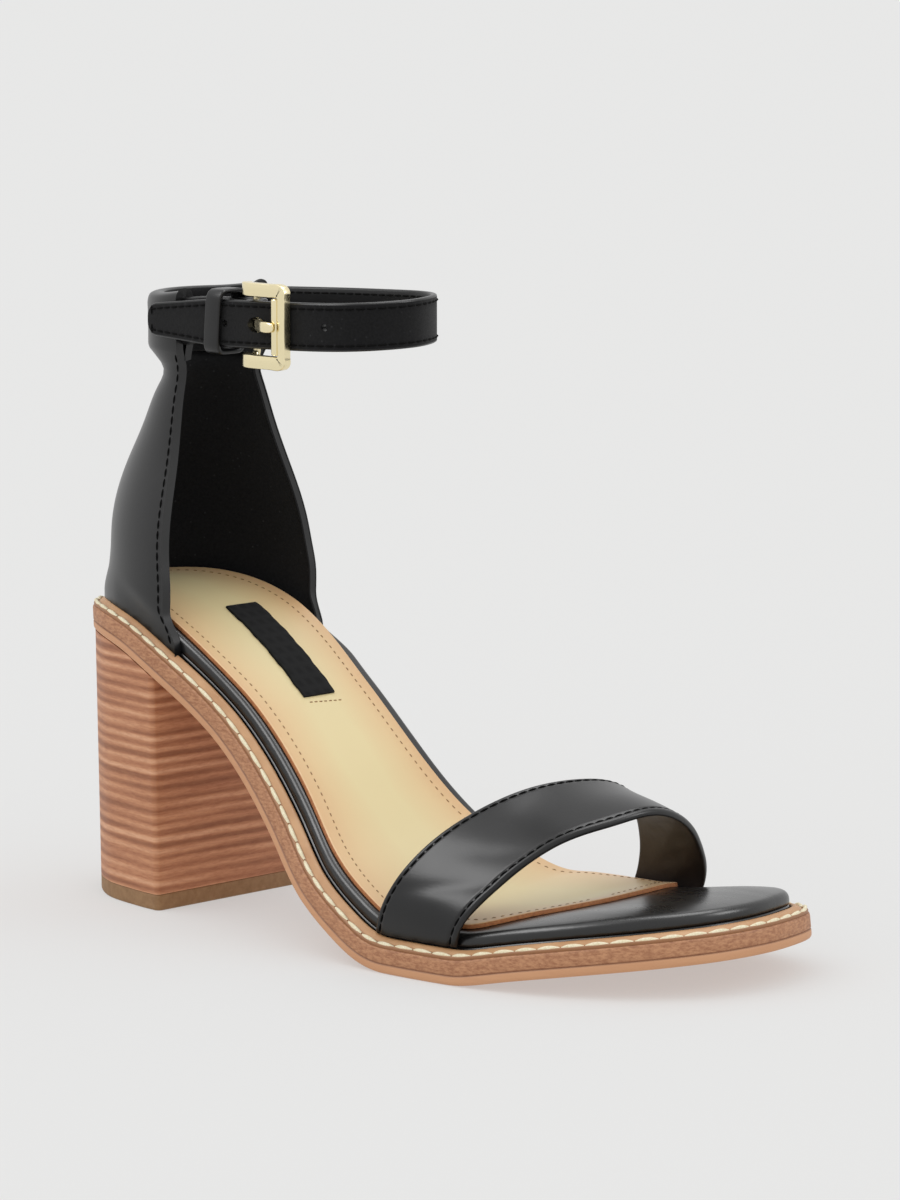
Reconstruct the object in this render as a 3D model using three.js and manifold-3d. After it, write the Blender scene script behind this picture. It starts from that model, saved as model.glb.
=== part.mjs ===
import * as THREE from 'three';
import * as BufferGeometryUtils from 'three/addons/utils/BufferGeometryUtils.js';
import Module from 'manifold-3d';

// A right-foot block heel sandal. Millimetres, +X from heel to toe, +Y towards the big toe
// side, +Z up, standing on z = 0. Tables are written with x measured from the back of the
// heel and y from the middle of the heel; the finished group is moved to its own middle.

const wasm = await Module();
wasm.setup();

// Sole
const SOLE_LENGTH = 216.5;
const BALL_WIDTH = 86;
const HEEL_RISE = 68.5;
const TOE_SPRING = 9;
const SOLE_THICKNESS = 6.2;
const GROOVE_HEIGHT = 2.4;
const GROOVE_DEPTH = 0.25;
const GAP = 0.3;

// Welt, footbed and sock
const WELT_WIDTH = 4.3;
const WELT_WAIST_WIDTH = 1.8;
const WELT_LIP = 0.6;
const WELT_RIDGE = 2;
const FOOTBED_HEIGHT = 5.6;
const FOOTBED_CROWN = 1.8;
const CROWN_SIDE = 16;
const CROWN_TIP = 22;
const BALL_BANK = 1.6;
const SEAT_CUP = 0.8;
const SEAT_CUP_WIDTH = 9;
const SOCK_MARGIN = 6.4;
const SOCK_FAR_MARGIN = 5.3;
const SOCK_CORNER = 8;
const SOCK_THICKNESS = 0.9;
const LABEL_LENGTH = 29.8;
const LABEL_WIDTH = 11.2;
const LABEL_THICKNESS = 0.5;
const LABEL_START = 35.6;
const LABEL_MIDDLE_Y = 0.7;
const LABEL_TURN = 4;

// Heel block
const HEEL_BREAST = 42;
const HEEL_TOP_INSET = 0.4;
const HEEL_BASE_LENGTH = 41.2;
const HEEL_BASE_WIDTH = 54.2;
const HEEL_TIP_THICKNESS = 4.2;
const HEEL_CORNER = 1.4;

// Heel counter with the tab that folds over the ankle strap
const COUNTER_HEIGHT = 61.8;
const COUNTER_LENGTH = 45;
const COUNTER_WIDTH = 53;
const COUNTER_WALL = 1.6;
const COUNTER_FOOT_MARGIN = 3.05;
const COUNTER_SHIFT_Y = -0.9;
const FOOT_WALL = 1.2;
const TAB_WALL = 1.3;
const TAB_RISE = 1.8;
const TAB_FLARE = 6.5;
const STRAP_DIP = 1.8;
const STRAP_DIP_START = 8;
const STRAP_DIP_END = 10;

// Ankle strap and its buckle
const STRAP_WIDTH = 12;
const STRAP_THICKNESS = 1.6;
const STRAP_TOP = 157.35;
const STRAP_RISE_PER_X = 0.025;
const STRAP_RISE_PER_Y = 0.027;
const LOOP_LENGTH = 88.8;
const LOOP_WIDTH = 35;
const TAIL_Y = -17.6;
const TAIL_TIP_X = 28.5;
const TAIL_TIP_WIDTH = 8;
const TAIL_TAPER = 24;
const HOLE_PITCH = 11.2;
const HOLE_DIAMETER = 1.8;
const PRONG_SLOT_LENGTH = 6;
const PRONG_SLOT_WIDTH = 3.9;
const BUCKLE_HEIGHT = 21.3;
const BUCKLE_ARM = 3.3;
const BUCKLE_DEPTH = 2.4;
const BUCKLE_BAR_X = 64.1;
const BUCKLE_BAR_Y = -13.6;
const BUCKLE_BAR_DIAMETER = 1.8;
const BUCKLE_LENGTH = 16.2;
const ROLLER_DIAMETER = 2.4;
const PRONG_WIDTH = 2.8;
const PRONG_THICKNESS = 1.2;
const KEEPER_X = 54.2;
const KEEPER_WIDTH = 5.2;
const KEEPER_WALL = 1.2;
const KEEPER_HEIGHT = 16.6;

// Toe strap
const TOE_STRAP_START = 131.2;
const TOE_STRAP_RADIUS = 38.4;
const TOE_STRAP_MIDDLE_Y = -1.6;
const TOE_STRAP_WIDTH = 26.2;
const TOE_STRAP_WALL = 1.8;

// How finely the curved shapes are divided
const SOLE_STATIONS = 38;
const SOCK_STATIONS = 30;
const COUNTER_STATIONS = 28;
const TOE_STRAP_STATIONS = 34;

// Plan outline, from the back of the heel to the toe tip along each side.
// Columns: x as a share of SOLE_LENGTH, y as a share of BALL_WIDTH.
const LATERAL_OUTLINE = [
  [0.000, -0.007],
  [0.022, -0.172],
  [0.079, -0.291],
  [0.144, -0.337],
  [0.194, -0.353],
  [0.301, -0.345],
  [0.395, -0.384],
  [0.485, -0.457],
  [0.579, -0.499],
  [0.675, -0.503],
  [0.769, -0.476],
  [0.861, -0.402],
  [0.938, -0.270],
  [0.985, -0.110],
];
const MEDIAL_OUTLINE = [
  [1.000, 0.058],
  [0.991, 0.221],
  [0.967, 0.360],
  [0.917, 0.447],
  [0.850, 0.465],
  [0.776, 0.456],
  [0.702, 0.444],
  [0.660, 0.440],
  [0.569, 0.403],
  [0.479, 0.326],
  [0.386, 0.274],
  [0.292, 0.283],
  [0.197, 0.321],
  [0.144, 0.316],
  [0.084, 0.270],
  [0.026, 0.158],
];

// Underside of the sole, seen from the side.
// Columns: x as a share of SOLE_LENGTH, height as a share of HEEL_RISE.
const ARCH_PROFILE = [
  [0.000, 0.991],
  [0.068, 1.001],
  [0.169, 0.920],
  [0.269, 0.742],
  [0.370, 0.489],
  [0.461, 0.231],
  [0.540, 0.086],
  [0.589, 0.020],
  [0.633, 0.000],
];
// The sole lies flat from the end of the arch to the start of the toe spring.
// Columns: x as a share of SOLE_LENGTH, height as a share of TOE_SPRING.
const TOE_PROFILE = [
  [0.725, 0.000],
  [0.782, 0.200],
  [0.883, 0.622],
  [1.000, 1.000],
];

// Front end of the sock. Columns: x as a share of SOLE_LENGTH, y as a share of BALL_WIDTH.
const SOCK_FRONT = [
  [0.730, -0.395],
  [0.762, -0.337],
  [0.788, -0.227],
  [0.801, -0.064],
  [0.801, 0.116],
  [0.794, 0.279],
  [0.774, 0.370],
];

// Heel counter, outer face of the wall at rising heights.
// Columns: height above the counter's foot as a share of COUNTER_HEIGHT, x of the back and x of
// the front edge as shares of COUNTER_LENGTH, half width as a share of COUNTER_WIDTH.
const COUNTER_SHAPE = [
  [0.000, 0.090, 0.985, 0.506],
  [0.115, 0.088, 0.985, 0.505],
  [0.213, 0.103, 0.963, 0.496],
  [0.311, 0.102, 0.942, 0.481],
  [0.443, 0.122, 0.914, 0.442],
  [0.590, 0.197, 0.879, 0.384],
  [0.754, 0.322, 0.841, 0.327],
  [0.902, 0.432, 0.815, 0.280],
  [0.985, 0.470, 0.811, 0.262],
  [1.030, 0.396, 0.824, 0.280],
  [1.060, 0.349, 0.833, 0.295],
  [1.090, 0.3425, 0.836, 0.2995],
  [1.213, 0.342, 0.836, 0.300],
  [1.400, 0.342, 0.836, 0.300],
];

// Middle line of the ankle strap in plan, from the tab round the inner side of the ankle and
// its front to where the tail begins. Columns: x from the middle of the tab as a share of
// LOOP_LENGTH, y as a share of LOOP_WIDTH.
const LOOP_SHAPE = [
  [0.135, 0.440],
  [0.305, 0.503],
  [0.450, 0.526],
  [0.585, 0.524],
  [0.670, 0.445],
  [0.722, 0.300],
  [0.756, 0.029],
  [0.722, -0.246],
  [0.662, -0.395],
  [0.582, -0.470],
  [0.495, -0.498],
];

// Toe strap edges as arches seen along the shoe.
// Columns: angle as a share of half a turn, radius of the back edge and of the front edge as
// shares of TOE_STRAP_RADIUS.
const TOE_STRAP_ARCH = [
  [0.000, 1.088, 1.111],
  [0.143, 1.049, 0.903],
  [0.286, 0.969, 0.769],
  [0.429, 0.930, 0.683],
  [0.571, 0.945, 0.712],
  [0.714, 1.014, 0.784],
  [0.857, 1.011, 0.910],
  [1.000, 1.012, 1.053],
];
// Where each edge of the toe strap stands along the shoe, as shares of TOE_STRAP_WIDTH from
// TOE_STRAP_START. Columns: little toe side, big toe side, how far the crown leans forward.
const TOE_STRAP_BACK = [0.000, 0.563, 0.644];
const TOE_STRAP_FRONT = [1.000, 1.412, 0.675];

const MATERIALS = {
  leather: [0x2a2a2b, 0.42, 0],
  sole: [0xa9735a, 0.62, 0],
  welt: [0xc4946a, 0.6, 0],
  heel: [0xb37c60, 0.55, 0],
  heel_tip: [0x94704d, 0.75, 0],
  sock: [0xe2c795, 0.5, 0],
  label: [0x161616, 0.9, 0],
  metal: [0xefe3b4, 0.25, 1],
};

const group = new THREE.Group();

function addMesh(name, geometry, slot) {
  const [color, roughness, metalness] = MATERIALS[slot];
  const material = new THREE.MeshStandardMaterial({ color, roughness, metalness });
  material.name = slot;
  const mesh = new THREE.Mesh(geometry, material);
  mesh.name = name;
  group.add(mesh);
  return mesh;
}

// Cubic spline through a table with known slopes at both ends: returns value and slope.
function cubic(xs, ys, slopeStart, slopeEnd) {
  const n = xs.length;
  const m = new Array(n).fill(0);
  m[0] = slopeStart;
  m[n - 1] = slopeEnd;
  const c = new Array(n).fill(0);
  const d = new Array(n).fill(0);
  d[0] = slopeStart;
  for (let i = 1; i < n - 1; i += 1) {
    const h0 = xs[i] - xs[i - 1];
    const h1 = xs[i + 1] - xs[i];
    const a = h1;
    const b = 2 * (h0 + h1);
    const right = 3 * (h1 * (ys[i] - ys[i - 1]) / h0 + h0 * (ys[i + 1] - ys[i]) / h1);
    const w = b - a * c[i - 1];
    c[i] = h0 / w;
    d[i] = (right - a * d[i - 1]) / w;
  }
  for (let i = n - 2; i > 0; i -= 1) {
    m[i] = d[i] - c[i] * m[i + 1];
  }
  return (x) => {
    let i = 0;
    while (i < n - 2 && x > xs[i + 1]) i += 1;
    const h = xs[i + 1] - xs[i];
    const t = Math.min(1, Math.max(0, (x - xs[i]) / h));
    const s = 1 - t;
    const value = ys[i] * s * s * (1 + 2 * t) + ys[i + 1] * t * t * (3 - 2 * t)
      + h * (m[i] * t * s * s - m[i + 1] * t * t * s);
    const slope = 6 * t * s * (ys[i + 1] - ys[i]) / h
      + m[i] * (1 - 4 * t + 3 * t * t) + m[i + 1] * (3 * t * t - 2 * t);
    return [value, slope];
  };
}

// Column of a table as a smooth function of its first column.
function column(table, index, scale) {
  const xs = table.map((row) => row[0]);
  const ys = table.map((row) => row[index] * scale);
  const n = xs.length;
  const start = (ys[1] - ys[0]) / (xs[1] - xs[0]);
  const end = (ys[n - 1] - ys[n - 2]) / (xs[n - 1] - xs[n - 2]);
  const spline = cubic(xs, ys, start, end);
  return (x) => spline(x)[0];
}

const arch = cubic(
  ARCH_PROFILE.map((row) => row[0] * SOLE_LENGTH),
  ARCH_PROFILE.map((row) => row[1] * HEEL_RISE),
  0.06,
  0,
);
const toe = cubic(
  TOE_PROFILE.map((row) => row[0] * SOLE_LENGTH),
  TOE_PROFILE.map((row) => row[1] * TOE_SPRING),
  0,
  0.12,
);
const FLAT_START = ARCH_PROFILE[ARCH_PROFILE.length - 1][0] * SOLE_LENGTH;
const FLAT_END = TOE_PROFILE[0][0] * SOLE_LENGTH;

// Height and slope of the underside at x.
function underside(x) {
  if (x < FLAT_START) return arch(x);
  if (x > FLAT_END) return toe(x);
  return [0, 0];
}

// Point at a height measured square to the underside.
function lift(x, y, height) {
  const [z, slope] = underside(x);
  const length = Math.hypot(1, slope);
  return new THREE.Vector3(x - slope * height / length, y, z + height / length);
}

function polylineShare(points, share) {
  const lengths = [0];
  for (let i = 1; i < points.length; i += 1) {
    lengths.push(lengths[i - 1] + points[i].distanceTo(points[i - 1]));
  }
  const target = share * lengths[lengths.length - 1];
  let i = 1;
  while (i < points.length - 1 && lengths[i] < target) i += 1;
  const t = (target - lengths[i - 1]) / (lengths[i] - lengths[i - 1]);
  return points[i - 1].clone().lerp(points[i], t);
}

// Closed plan outline, resampled so that its two sides share the same x stations. Point 0 is
// the rearmost point and point `stations` the foremost one.
function planOutline(points, stations) {
  const curve = new THREE.CatmullRomCurve3(points, true, 'centripetal');
  const dense = curve.getSpacedPoints(900).slice(0, 900);
  let back = 0;
  let front = 0;
  dense.forEach((p, i) => {
    if (p.x < dense[back].x) back = i;
    if (p.x > dense[front].x) front = i;
  });
  const walk = (from, to) => {
    const side = [];
    for (let i = from; i !== to; i = (i + 1) % dense.length) side.push(dense[i]);
    side.push(dense[to]);
    return side;
  };
  const lateral = walk(back, front);
  const medial = walk(front, back).reverse();
  const low = dense[back].x;
  const high = dense[front].x;
  const atX = (side, x) => {
    let i = 1;
    while (i < side.length - 1 && side[i].x < x) i += 1;
    const t = (x - side[i - 1].x) / (side[i].x - side[i - 1].x);
    return side[i - 1].y + (side[i].y - side[i - 1].y) * Math.min(1, Math.max(0, t));
  };
  const xs = [];
  for (let i = 0; i <= stations; i += 1) {
    xs.push(low + (high - low) * (1 - Math.cos(Math.PI * i / stations)) / 2);
  }
  const ring = xs.map((x) => new THREE.Vector2(x, atX(lateral, x)));
  for (let i = stations - 1; i > 0; i -= 1) {
    ring.push(new THREE.Vector2(xs[i], atX(medial, xs[i])));
  }
  return ring;
}

// The ring moved inwards by a margin.
function inset(ring, margin) {
  const n = ring.length;
  return ring.map((p, i) => {
    const ahead = ring[(i + 1) % n];
    const behind = ring[(i + n - 1) % n];
    const tangent = ahead.clone().sub(behind).normalize();
    return new THREE.Vector2(p.x - tangent.y * margin, p.y + tangent.x * margin);
  });
}

function buildGeometry(vertices, faces) {
  const position = new Float32Array(vertices.length * 3);
  vertices.forEach((v, i) => v.toArray(position, i * 3));
  let volume = 0;
  faces.forEach(([a, b, c]) => {
    volume += vertices[a].dot(vertices[b].clone().cross(vertices[c]));
  });
  const wound = volume > 0 ? faces : faces.map(([a, b, c]) => [a, c, b]);
  const geometry = new THREE.BufferGeometry();
  geometry.setAttribute('position', new THREE.BufferAttribute(position, 3));
  geometry.setIndex(wound.flat());
  geometry.computeVertexNormals();
  return geometry;
}

// Solid between closed rings of points. Ends are closed by a fan ('fan'), by strips that join
// the two sides of the ring ('strip'), or the last ring joins the first ('loop').
function loft(rings, ends) {
  const n = rings[0].length;
  const vertices = rings.flat().map((v) => v.clone());
  const faces = [];
  const last = ends === 'loop' ? rings.length : rings.length - 1;
  for (let r = 0; r < last; r += 1) {
    const a = r * n;
    const b = ((r + 1) % rings.length) * n;
    for (let i = 0; i < n; i += 1) {
      const j = (i + 1) % n;
      faces.push([a + i, a + j, b + j], [a + i, b + j, b + i]);
    }
  }
  const close = (base, forward) => {
    const put = (a, b, c) => faces.push(forward ? [a, b, c] : [a, c, b]);
    if (ends === 'fan') {
      const middle = new THREE.Vector3();
      for (let i = 0; i < n; i += 1) middle.add(vertices[base + i]);
      vertices.push(middle.divideScalar(n));
      const centre = vertices.length - 1;
      for (let i = 0; i < n; i += 1) put(centre, base + (i + 1) % n, base + i);
      return;
    }
    const pair = (i) => (n - i) % n;
    put(base, base + pair(1), base + 1);
    for (let i = 1; i + 1 < pair(i + 1); i += 1) {
      put(base + i, base + pair(i), base + pair(i + 1));
      put(base + i, base + pair(i + 1), base + i + 1);
    }
    const k = Math.floor(n / 2) - 1;
    if (n % 2 === 0) put(base + k, base + pair(k), base + k + 1);
  };
  if (ends !== 'loop') {
    close(0, true);
    close((rings.length - 1) * n, false);
  }
  return buildGeometry(vertices, faces);
}

function toManifold(geometry) {
  const bare = geometry.clone();
  bare.deleteAttribute('normal');
  if (bare.getAttribute('uv')) bare.deleteAttribute('uv');
  const merged = BufferGeometryUtils.mergeVertices(bare, 1e-4);
  return new wasm.Manifold(new wasm.Mesh({
    numProp: 3,
    vertProperties: new Float32Array(merged.getAttribute('position').array),
    triVerts: new Uint32Array(merged.getIndex().array),
  }));
}

function fromManifold(solid) {
  const mesh = solid.getMesh();
  const geometry = new THREE.BufferGeometry();
  const position = new Float32Array(mesh.numVert * 3);
  for (let i = 0; i < mesh.numVert; i += 1) {
    for (let k = 0; k < 3; k += 1) position[3 * i + k] = mesh.vertProperties[mesh.numProp * i + k];
  }
  geometry.setAttribute('position', new THREE.BufferAttribute(position, 3));
  geometry.setIndex(Array.from(mesh.triVerts));
  geometry.computeVertexNormals();
  return geometry;
}

// Sole pieces

const outlinePoints = [...LATERAL_OUTLINE, ...MEDIAL_OUTLINE].map(([x, y]) => (
  new THREE.Vector3(x * SOLE_LENGTH, y * BALL_WIDTH, 0)
));
const soleRing = planOutline(outlinePoints, SOLE_STATIONS);

// Slab whose edge is a short list of [margin, height] rows, from its bottom to its top.
function slab(ring, rows) {
  const rings = rows.map(([margin, height]) => (
    inset(ring, margin).map((p) => lift(p.x, p.y, height))
  ));
  return loft(rings, 'strip');
}

function sideY(ring, x, medial) {
  const half = ring.length / 2;
  const side = medial ? [ring[0], ...ring.slice(half).reverse()] : ring.slice(0, half + 1);
  let i = 1;
  while (i < side.length - 1 && side[i].x < x) i += 1;
  const t = (x - side[i - 1].x) / (side[i].x - side[i - 1].x);
  return side[i - 1].y + (side[i].y - side[i - 1].y) * THREE.MathUtils.clamp(t, 0, 1);
}

// The footbed's top is crowned under the toes, banked up at the ball on the big toe side and
// cupped round the heel: extra height at a point of the plan.
function crown(edge, x, y) {
  const { smoothstep } = THREE.MathUtils;
  const along = x / SOLE_LENGTH;
  const rise = (t) => 1 - (1 - THREE.MathUtils.clamp(t, 0, 1)) ** 2;
  const near = Math.max(0, y - sideY(edge, x, false));
  const far = Math.max(0, sideY(edge, x, true) - y);
  const sides = rise(near / CROWN_SIDE) * rise(far / CROWN_SIDE);
  const tip = rise((edge[edge.length / 2].x - x) / CROWN_TIP);
  const top = FOOTBED_CROWN * smoothstep(along, 0.56, 0.74) * sides * tip;
  const ball = smoothstep(along, 0.54, 0.64) * (1 - smoothstep(along, 0.72, 0.84));
  const across = near / Math.max(near + far, GAP);
  const bank = BALL_BANK * ball * smoothstep(across, 0.45, 1);
  const back = (x - edge[0].x) / SEAT_CUP_WIDTH;
  const hollow = rise(near / SEAT_CUP_WIDTH) * rise(far / SEAT_CUP_WIDTH) * rise(back);
  const cup = SEAT_CUP * (1 - smoothstep(along, 0.16, 0.28)) * (1 - hollow);
  return top + bank + cup;
}

// Ring drawn in towards the middle line by a share of its half width.
function drawnIn(ring, share) {
  const n = ring.length;
  const middleX = (ring[0].x + ring[n / 2].x) / 2;
  return ring.map((p, i) => {
    const middleY = (p.y + ring[(n - i) % n].y) / 2;
    return new THREE.Vector2(
      middleX + (p.x - middleX) * (1 - 0.14 * share),
      p.y + (middleY - p.y) * share,
    );
  });
}
const INNER_SHARES = [0.3, 0.66];

addMesh('outsole', slab(soleRing, [
  [1.0, 0],
  [0.3, 0.35],
  [0, 1.1],
  [0, GROOVE_HEIGHT - GROOVE_DEPTH],
  [GROOVE_DEPTH, GROOVE_HEIGHT],
  [0, GROOVE_HEIGHT + GROOVE_DEPTH],
  [0, SOLE_THICKNESS - 0.3],
  [0.3, SOLE_THICKNESS],
]), 'sole');

const WELT_BASE = SOLE_THICKNESS + GAP;
const RIDGE_TOP = SOLE_THICKNESS + WELT_RIDGE;

// The welt is trimmed close along the big toe side of the waist, where the upper stands further
// out. The line that the upper follows, and lines further in beside it.
const weltTrim = soleRing.map((p, i) => {
  const { smoothstep } = THREE.MathUtils;
  const along = p.x / SOLE_LENGTH;
  const waist = smoothstep(along, 0.21, 0.26) * (1 - smoothstep(along, 0.42, 0.64));
  return i > SOLE_STATIONS ? (WELT_WIDTH - WELT_WAIST_WIDTH) * waist : 0;
});
const insetUpper = (margin) => {
  const lines = [inset(soleRing, margin - 1), inset(soleRing, margin)];
  return soleRing.map((_, i) => lines[1][i].clone().lerp(lines[0][i], weltTrim[i]));
};

const weltRows = [
  [0.35, WELT_BASE],
  [0.3, WELT_BASE + WELT_LIP * 0.6],
  [0.6, WELT_BASE + WELT_LIP],
  [1.5, WELT_BASE + WELT_LIP * 0.9],
  [WELT_WIDTH * 0.56, RIDGE_TOP - 0.75],
  [WELT_WIDTH * 0.72, RIDGE_TOP - 0.1],
  [WELT_WIDTH * 0.86, RIDGE_TOP],
  [WELT_WIDTH, RIDGE_TOP - 0.4],
  [WELT_WIDTH, WELT_BASE],
];
addMesh('welt', loft(weltRows.map(([margin, height]) => {
  // The rows close up as the welt narrows.
  const edge = inset(soleRing, margin);
  const trimmed = insetUpper(margin);
  const share = THREE.MathUtils.clamp(margin / WELT_WIDTH, 0, 1);
  return edge.map((p, i) => p.lerp(trimmed[i], share)).map((p) => lift(p.x, p.y, height));
}), 'loop'), 'welt');

const FOOTBED_MARGIN = WELT_WIDTH + 0.4;
const FOOTBED_TOP = SOLE_THICKNESS + FOOTBED_HEIGHT;
const footbedEdge = insetUpper(FOOTBED_MARGIN);
const onCrown = (ring, height) => (
  ring.map((p) => lift(p.x, p.y, height + crown(footbedEdge, p.x, p.y)))
);
const footbedTopRing = insetUpper(FOOTBED_MARGIN + 1.2);
addMesh('footbed', loft([
  insetUpper(FOOTBED_MARGIN + 0.3).map((p) => lift(p.x, p.y, WELT_BASE)),
  footbedEdge.map((p) => lift(p.x, p.y, WELT_BASE + 0.4)),
  onCrown(footbedEdge, FOOTBED_TOP - 1.3),
  onCrown(insetUpper(FOOTBED_MARGIN + 0.35), FOOTBED_TOP - 0.45),
  onCrown(footbedTopRing, FOOTBED_TOP),
  ...INNER_SHARES.map((share) => onCrown(drawnIn(footbedTopRing, share), FOOTBED_TOP)),
], 'strip'), 'leather');

const SOCK_BASE = FOOTBED_TOP + GAP;
const SOCK_TOP = SOCK_BASE + SOCK_THICKNESS;
const sockEdge = inset(soleRing, SOCK_MARGIN);
const sockBallEdge = inset(soleRing, SOCK_FAR_MARGIN);
const sockLimit = SOCK_FRONT[0][0] * SOLE_LENGTH - SOCK_CORNER;
const sockPoints = [];
for (let i = 0; i <= SOLE_STATIONS; i += 2) {
  const p = sockEdge[i];
  if (p.x < sockLimit) sockPoints.push(new THREE.Vector3(p.x, p.y, 0));
}
SOCK_FRONT.forEach(([x, y]) => {
  sockPoints.push(new THREE.Vector3(x * SOLE_LENGTH, y * BALL_WIDTH, 0));
});
for (let i = SOLE_STATIONS; i < soleRing.length - 1; i += 2) {
  // The sock reaches nearer the edge on the big toe side of the ball.
  const share = THREE.MathUtils.smoothstep(sockEdge[i].x / SOLE_LENGTH, 0.44, 0.6);
  const p = sockEdge[i].clone().lerp(sockBallEdge[i], share);
  if (p.x < sockLimit) sockPoints.push(new THREE.Vector3(p.x, p.y, 0));
}
const sockRing = planOutline(sockPoints, SOCK_STATIONS);
addMesh('sock', loft([
  ...[...INNER_SHARES].reverse().map((share) => onCrown(drawnIn(sockRing, share), SOCK_BASE)),
  onCrown(inset(sockRing, 0.2), SOCK_BASE),
  onCrown(sockRing, SOCK_BASE + 0.25),
  onCrown(sockRing, SOCK_TOP - 0.2),
  onCrown(inset(sockRing, 0.25), SOCK_TOP),
  ...INNER_SHARES.map((share) => onCrown(drawnIn(sockRing, share), SOCK_TOP)),
], 'strip'), 'sock');

// Label patch, lying on the sock.
const LABEL_BASE = SOCK_TOP + GAP;
const labelRings = [];
const labelSteps = 14;
for (let i = 0; i <= labelSteps; i += 1) {
  const t = i / labelSteps;
  const x = LABEL_START + LABEL_LENGTH * t;
  const middle = LABEL_MIDDLE_Y + LABEL_TURN * (0.5 - t);
  const half = LABEL_WIDTH / 2 * (1 - 0.04 * (1 + Math.cos(t * Math.PI * 8)) / 2);
  const top = LABEL_BASE + LABEL_THICKNESS;
  labelRings.push([
    lift(x, middle - half, LABEL_BASE),
    lift(x, middle + half, LABEL_BASE),
    lift(x, middle + half, top - 0.1),
    lift(x, middle + half - 0.2, top),
    lift(x, middle - half + 0.2, top),
    lift(x, middle - half, top - 0.1),
  ]);
}
addMesh('sock_label', loft(labelRings, 'fan'), 'label');

// Heel block and its tip share one tapering D section.

const heelTop = inset(soleRing, HEEL_TOP_INSET);
const heelSide = (points) => points.filter((p) => p.x < HEEL_BREAST - HEEL_CORNER);
const heelLateral = heelSide(heelTop.slice(0, SOLE_STATIONS));
const heelMedial = heelSide(heelTop.slice(SOLE_STATIONS).reverse());
const yAt = (points, x) => {
  let i = 1;
  while (i < points.length - 1 && points[i].x < x) i += 1;
  const t = (x - points[i - 1].x) / (points[i].x - points[i - 1].x);
  return points[i - 1].y + (points[i].y - points[i - 1].y) * t;
};
const lateralSide = heelTop.slice(0, SOLE_STATIONS);
const medialSide = [heelTop[0], ...heelTop.slice(SOLE_STATIONS + 1).reverse()];
const breastLateral = yAt(lateralSide, HEEL_BREAST);
const breastMedial = yAt(medialSide, HEEL_BREAST);
const corner = (y, sign) => [
  new THREE.Vector2(HEEL_BREAST - HEEL_CORNER, y),
  new THREE.Vector2(HEEL_BREAST - HEEL_CORNER * 0.3, y + sign * HEEL_CORNER * 0.3),
  new THREE.Vector2(HEEL_BREAST, y + sign * HEEL_CORNER),
];
const heelPlan = [
  ...heelLateral,
  ...corner(breastLateral, 1),
  ...corner(breastMedial, -1).reverse(),
  ...heelMedial.filter((p) => p.x > heelTop[0].x + 0.05).reverse(),
];
const heelMiddle = (breastLateral + breastMedial) / 2;
const heelTopWidth = breastMedial - breastLateral;
const lengthTaper = HEEL_BASE_LENGTH / (HEEL_BREAST - heelTop[0].x);
const widthTaper = HEEL_BASE_WIDTH / heelTopWidth;

function heelPoint(p, height, fullHeight) {
  const up = Math.min(1, height / fullHeight);
  const sx = lengthTaper + (1 - lengthTaper) * up;
  const sy = widthTaper + (1 - widthTaper) * up;
  return new THREE.Vector3(
    HEEL_BREAST - (HEEL_BREAST - p.x) * sx,
    heelMiddle + (p.y - heelMiddle) * sy,
    height,
  );
}
function heelCeiling(p) {
  const [z, slope] = underside(p.x);
  return z - GAP * Math.hypot(1, slope);
}
addMesh('heel_tip', loft([0, HEEL_TIP_THICKNESS * 0.5, HEEL_TIP_THICKNESS].map((height) => (
  heelPlan.map((p) => heelPoint(p, height, HEEL_RISE))
)), 'strip'), 'heel_tip');
addMesh('heel_block', loft([0, 0.25, 0.5, 0.75, 1].map((share) => (
  heelPlan.map((p) => {
    const low = HEEL_TIP_THICKNESS + GAP;
    const height = low + (heelCeiling(p) - low) * share;
    const point = heelPoint(p, height, heelCeiling(p));
    point.z = height;
    return point;
  })
)), 'strip'), 'heel');

// Heel counter: a U shaped wall that stands on the welt's ridge outside the footbed, narrows
// upwards, and folds over the ankle strap at the top.

const counterBack = column(COUNTER_SHAPE, 1, COUNTER_LENGTH);
const counterFront = column(COUNTER_SHAPE, 2, COUNTER_LENGTH);
const counterHalf = column(COUNTER_SHAPE, 3, COUNTER_WIDTH);
const RIDGE_SEAT = RIDGE_TOP + GAP;
const COUNTER_FOOT_Z = lift(0, 0, RIDGE_SEAT).z;
const TAB_FOOT_Z = COUNTER_FOOT_Z + COUNTER_HEIGHT;

function counterPlan(z, share, depth) {
  const level = (z - COUNTER_FOOT_Z) / COUNTER_HEIGHT;
  const back = counterBack(level);
  const front = counterFront(level);
  const half = counterHalf(level);
  const middle = COUNTER_SHIFT_Y * (1 - THREE.MathUtils.smoothstep(level, 0, 0.7));
  const points = [];
  for (let i = 0; i <= 60; i += 1) {
    const angle = Math.PI * (i / 60 - 0.5);
    const x = front - (front - back) * Math.cos(angle);
    points.push(new THREE.Vector3(x, middle + half * Math.sin(angle), 0));
  }
  const p = polylineShare(points, share);
  const ahead = polylineShare(points, Math.min(1, share + 0.01));
  const behind = polylineShare(points, Math.max(0, share - 0.01));
  const tangent = ahead.sub(behind).normalize();
  return new THREE.Vector2(p.x + tangent.y * depth, p.y - tangent.x * depth);
}

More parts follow.
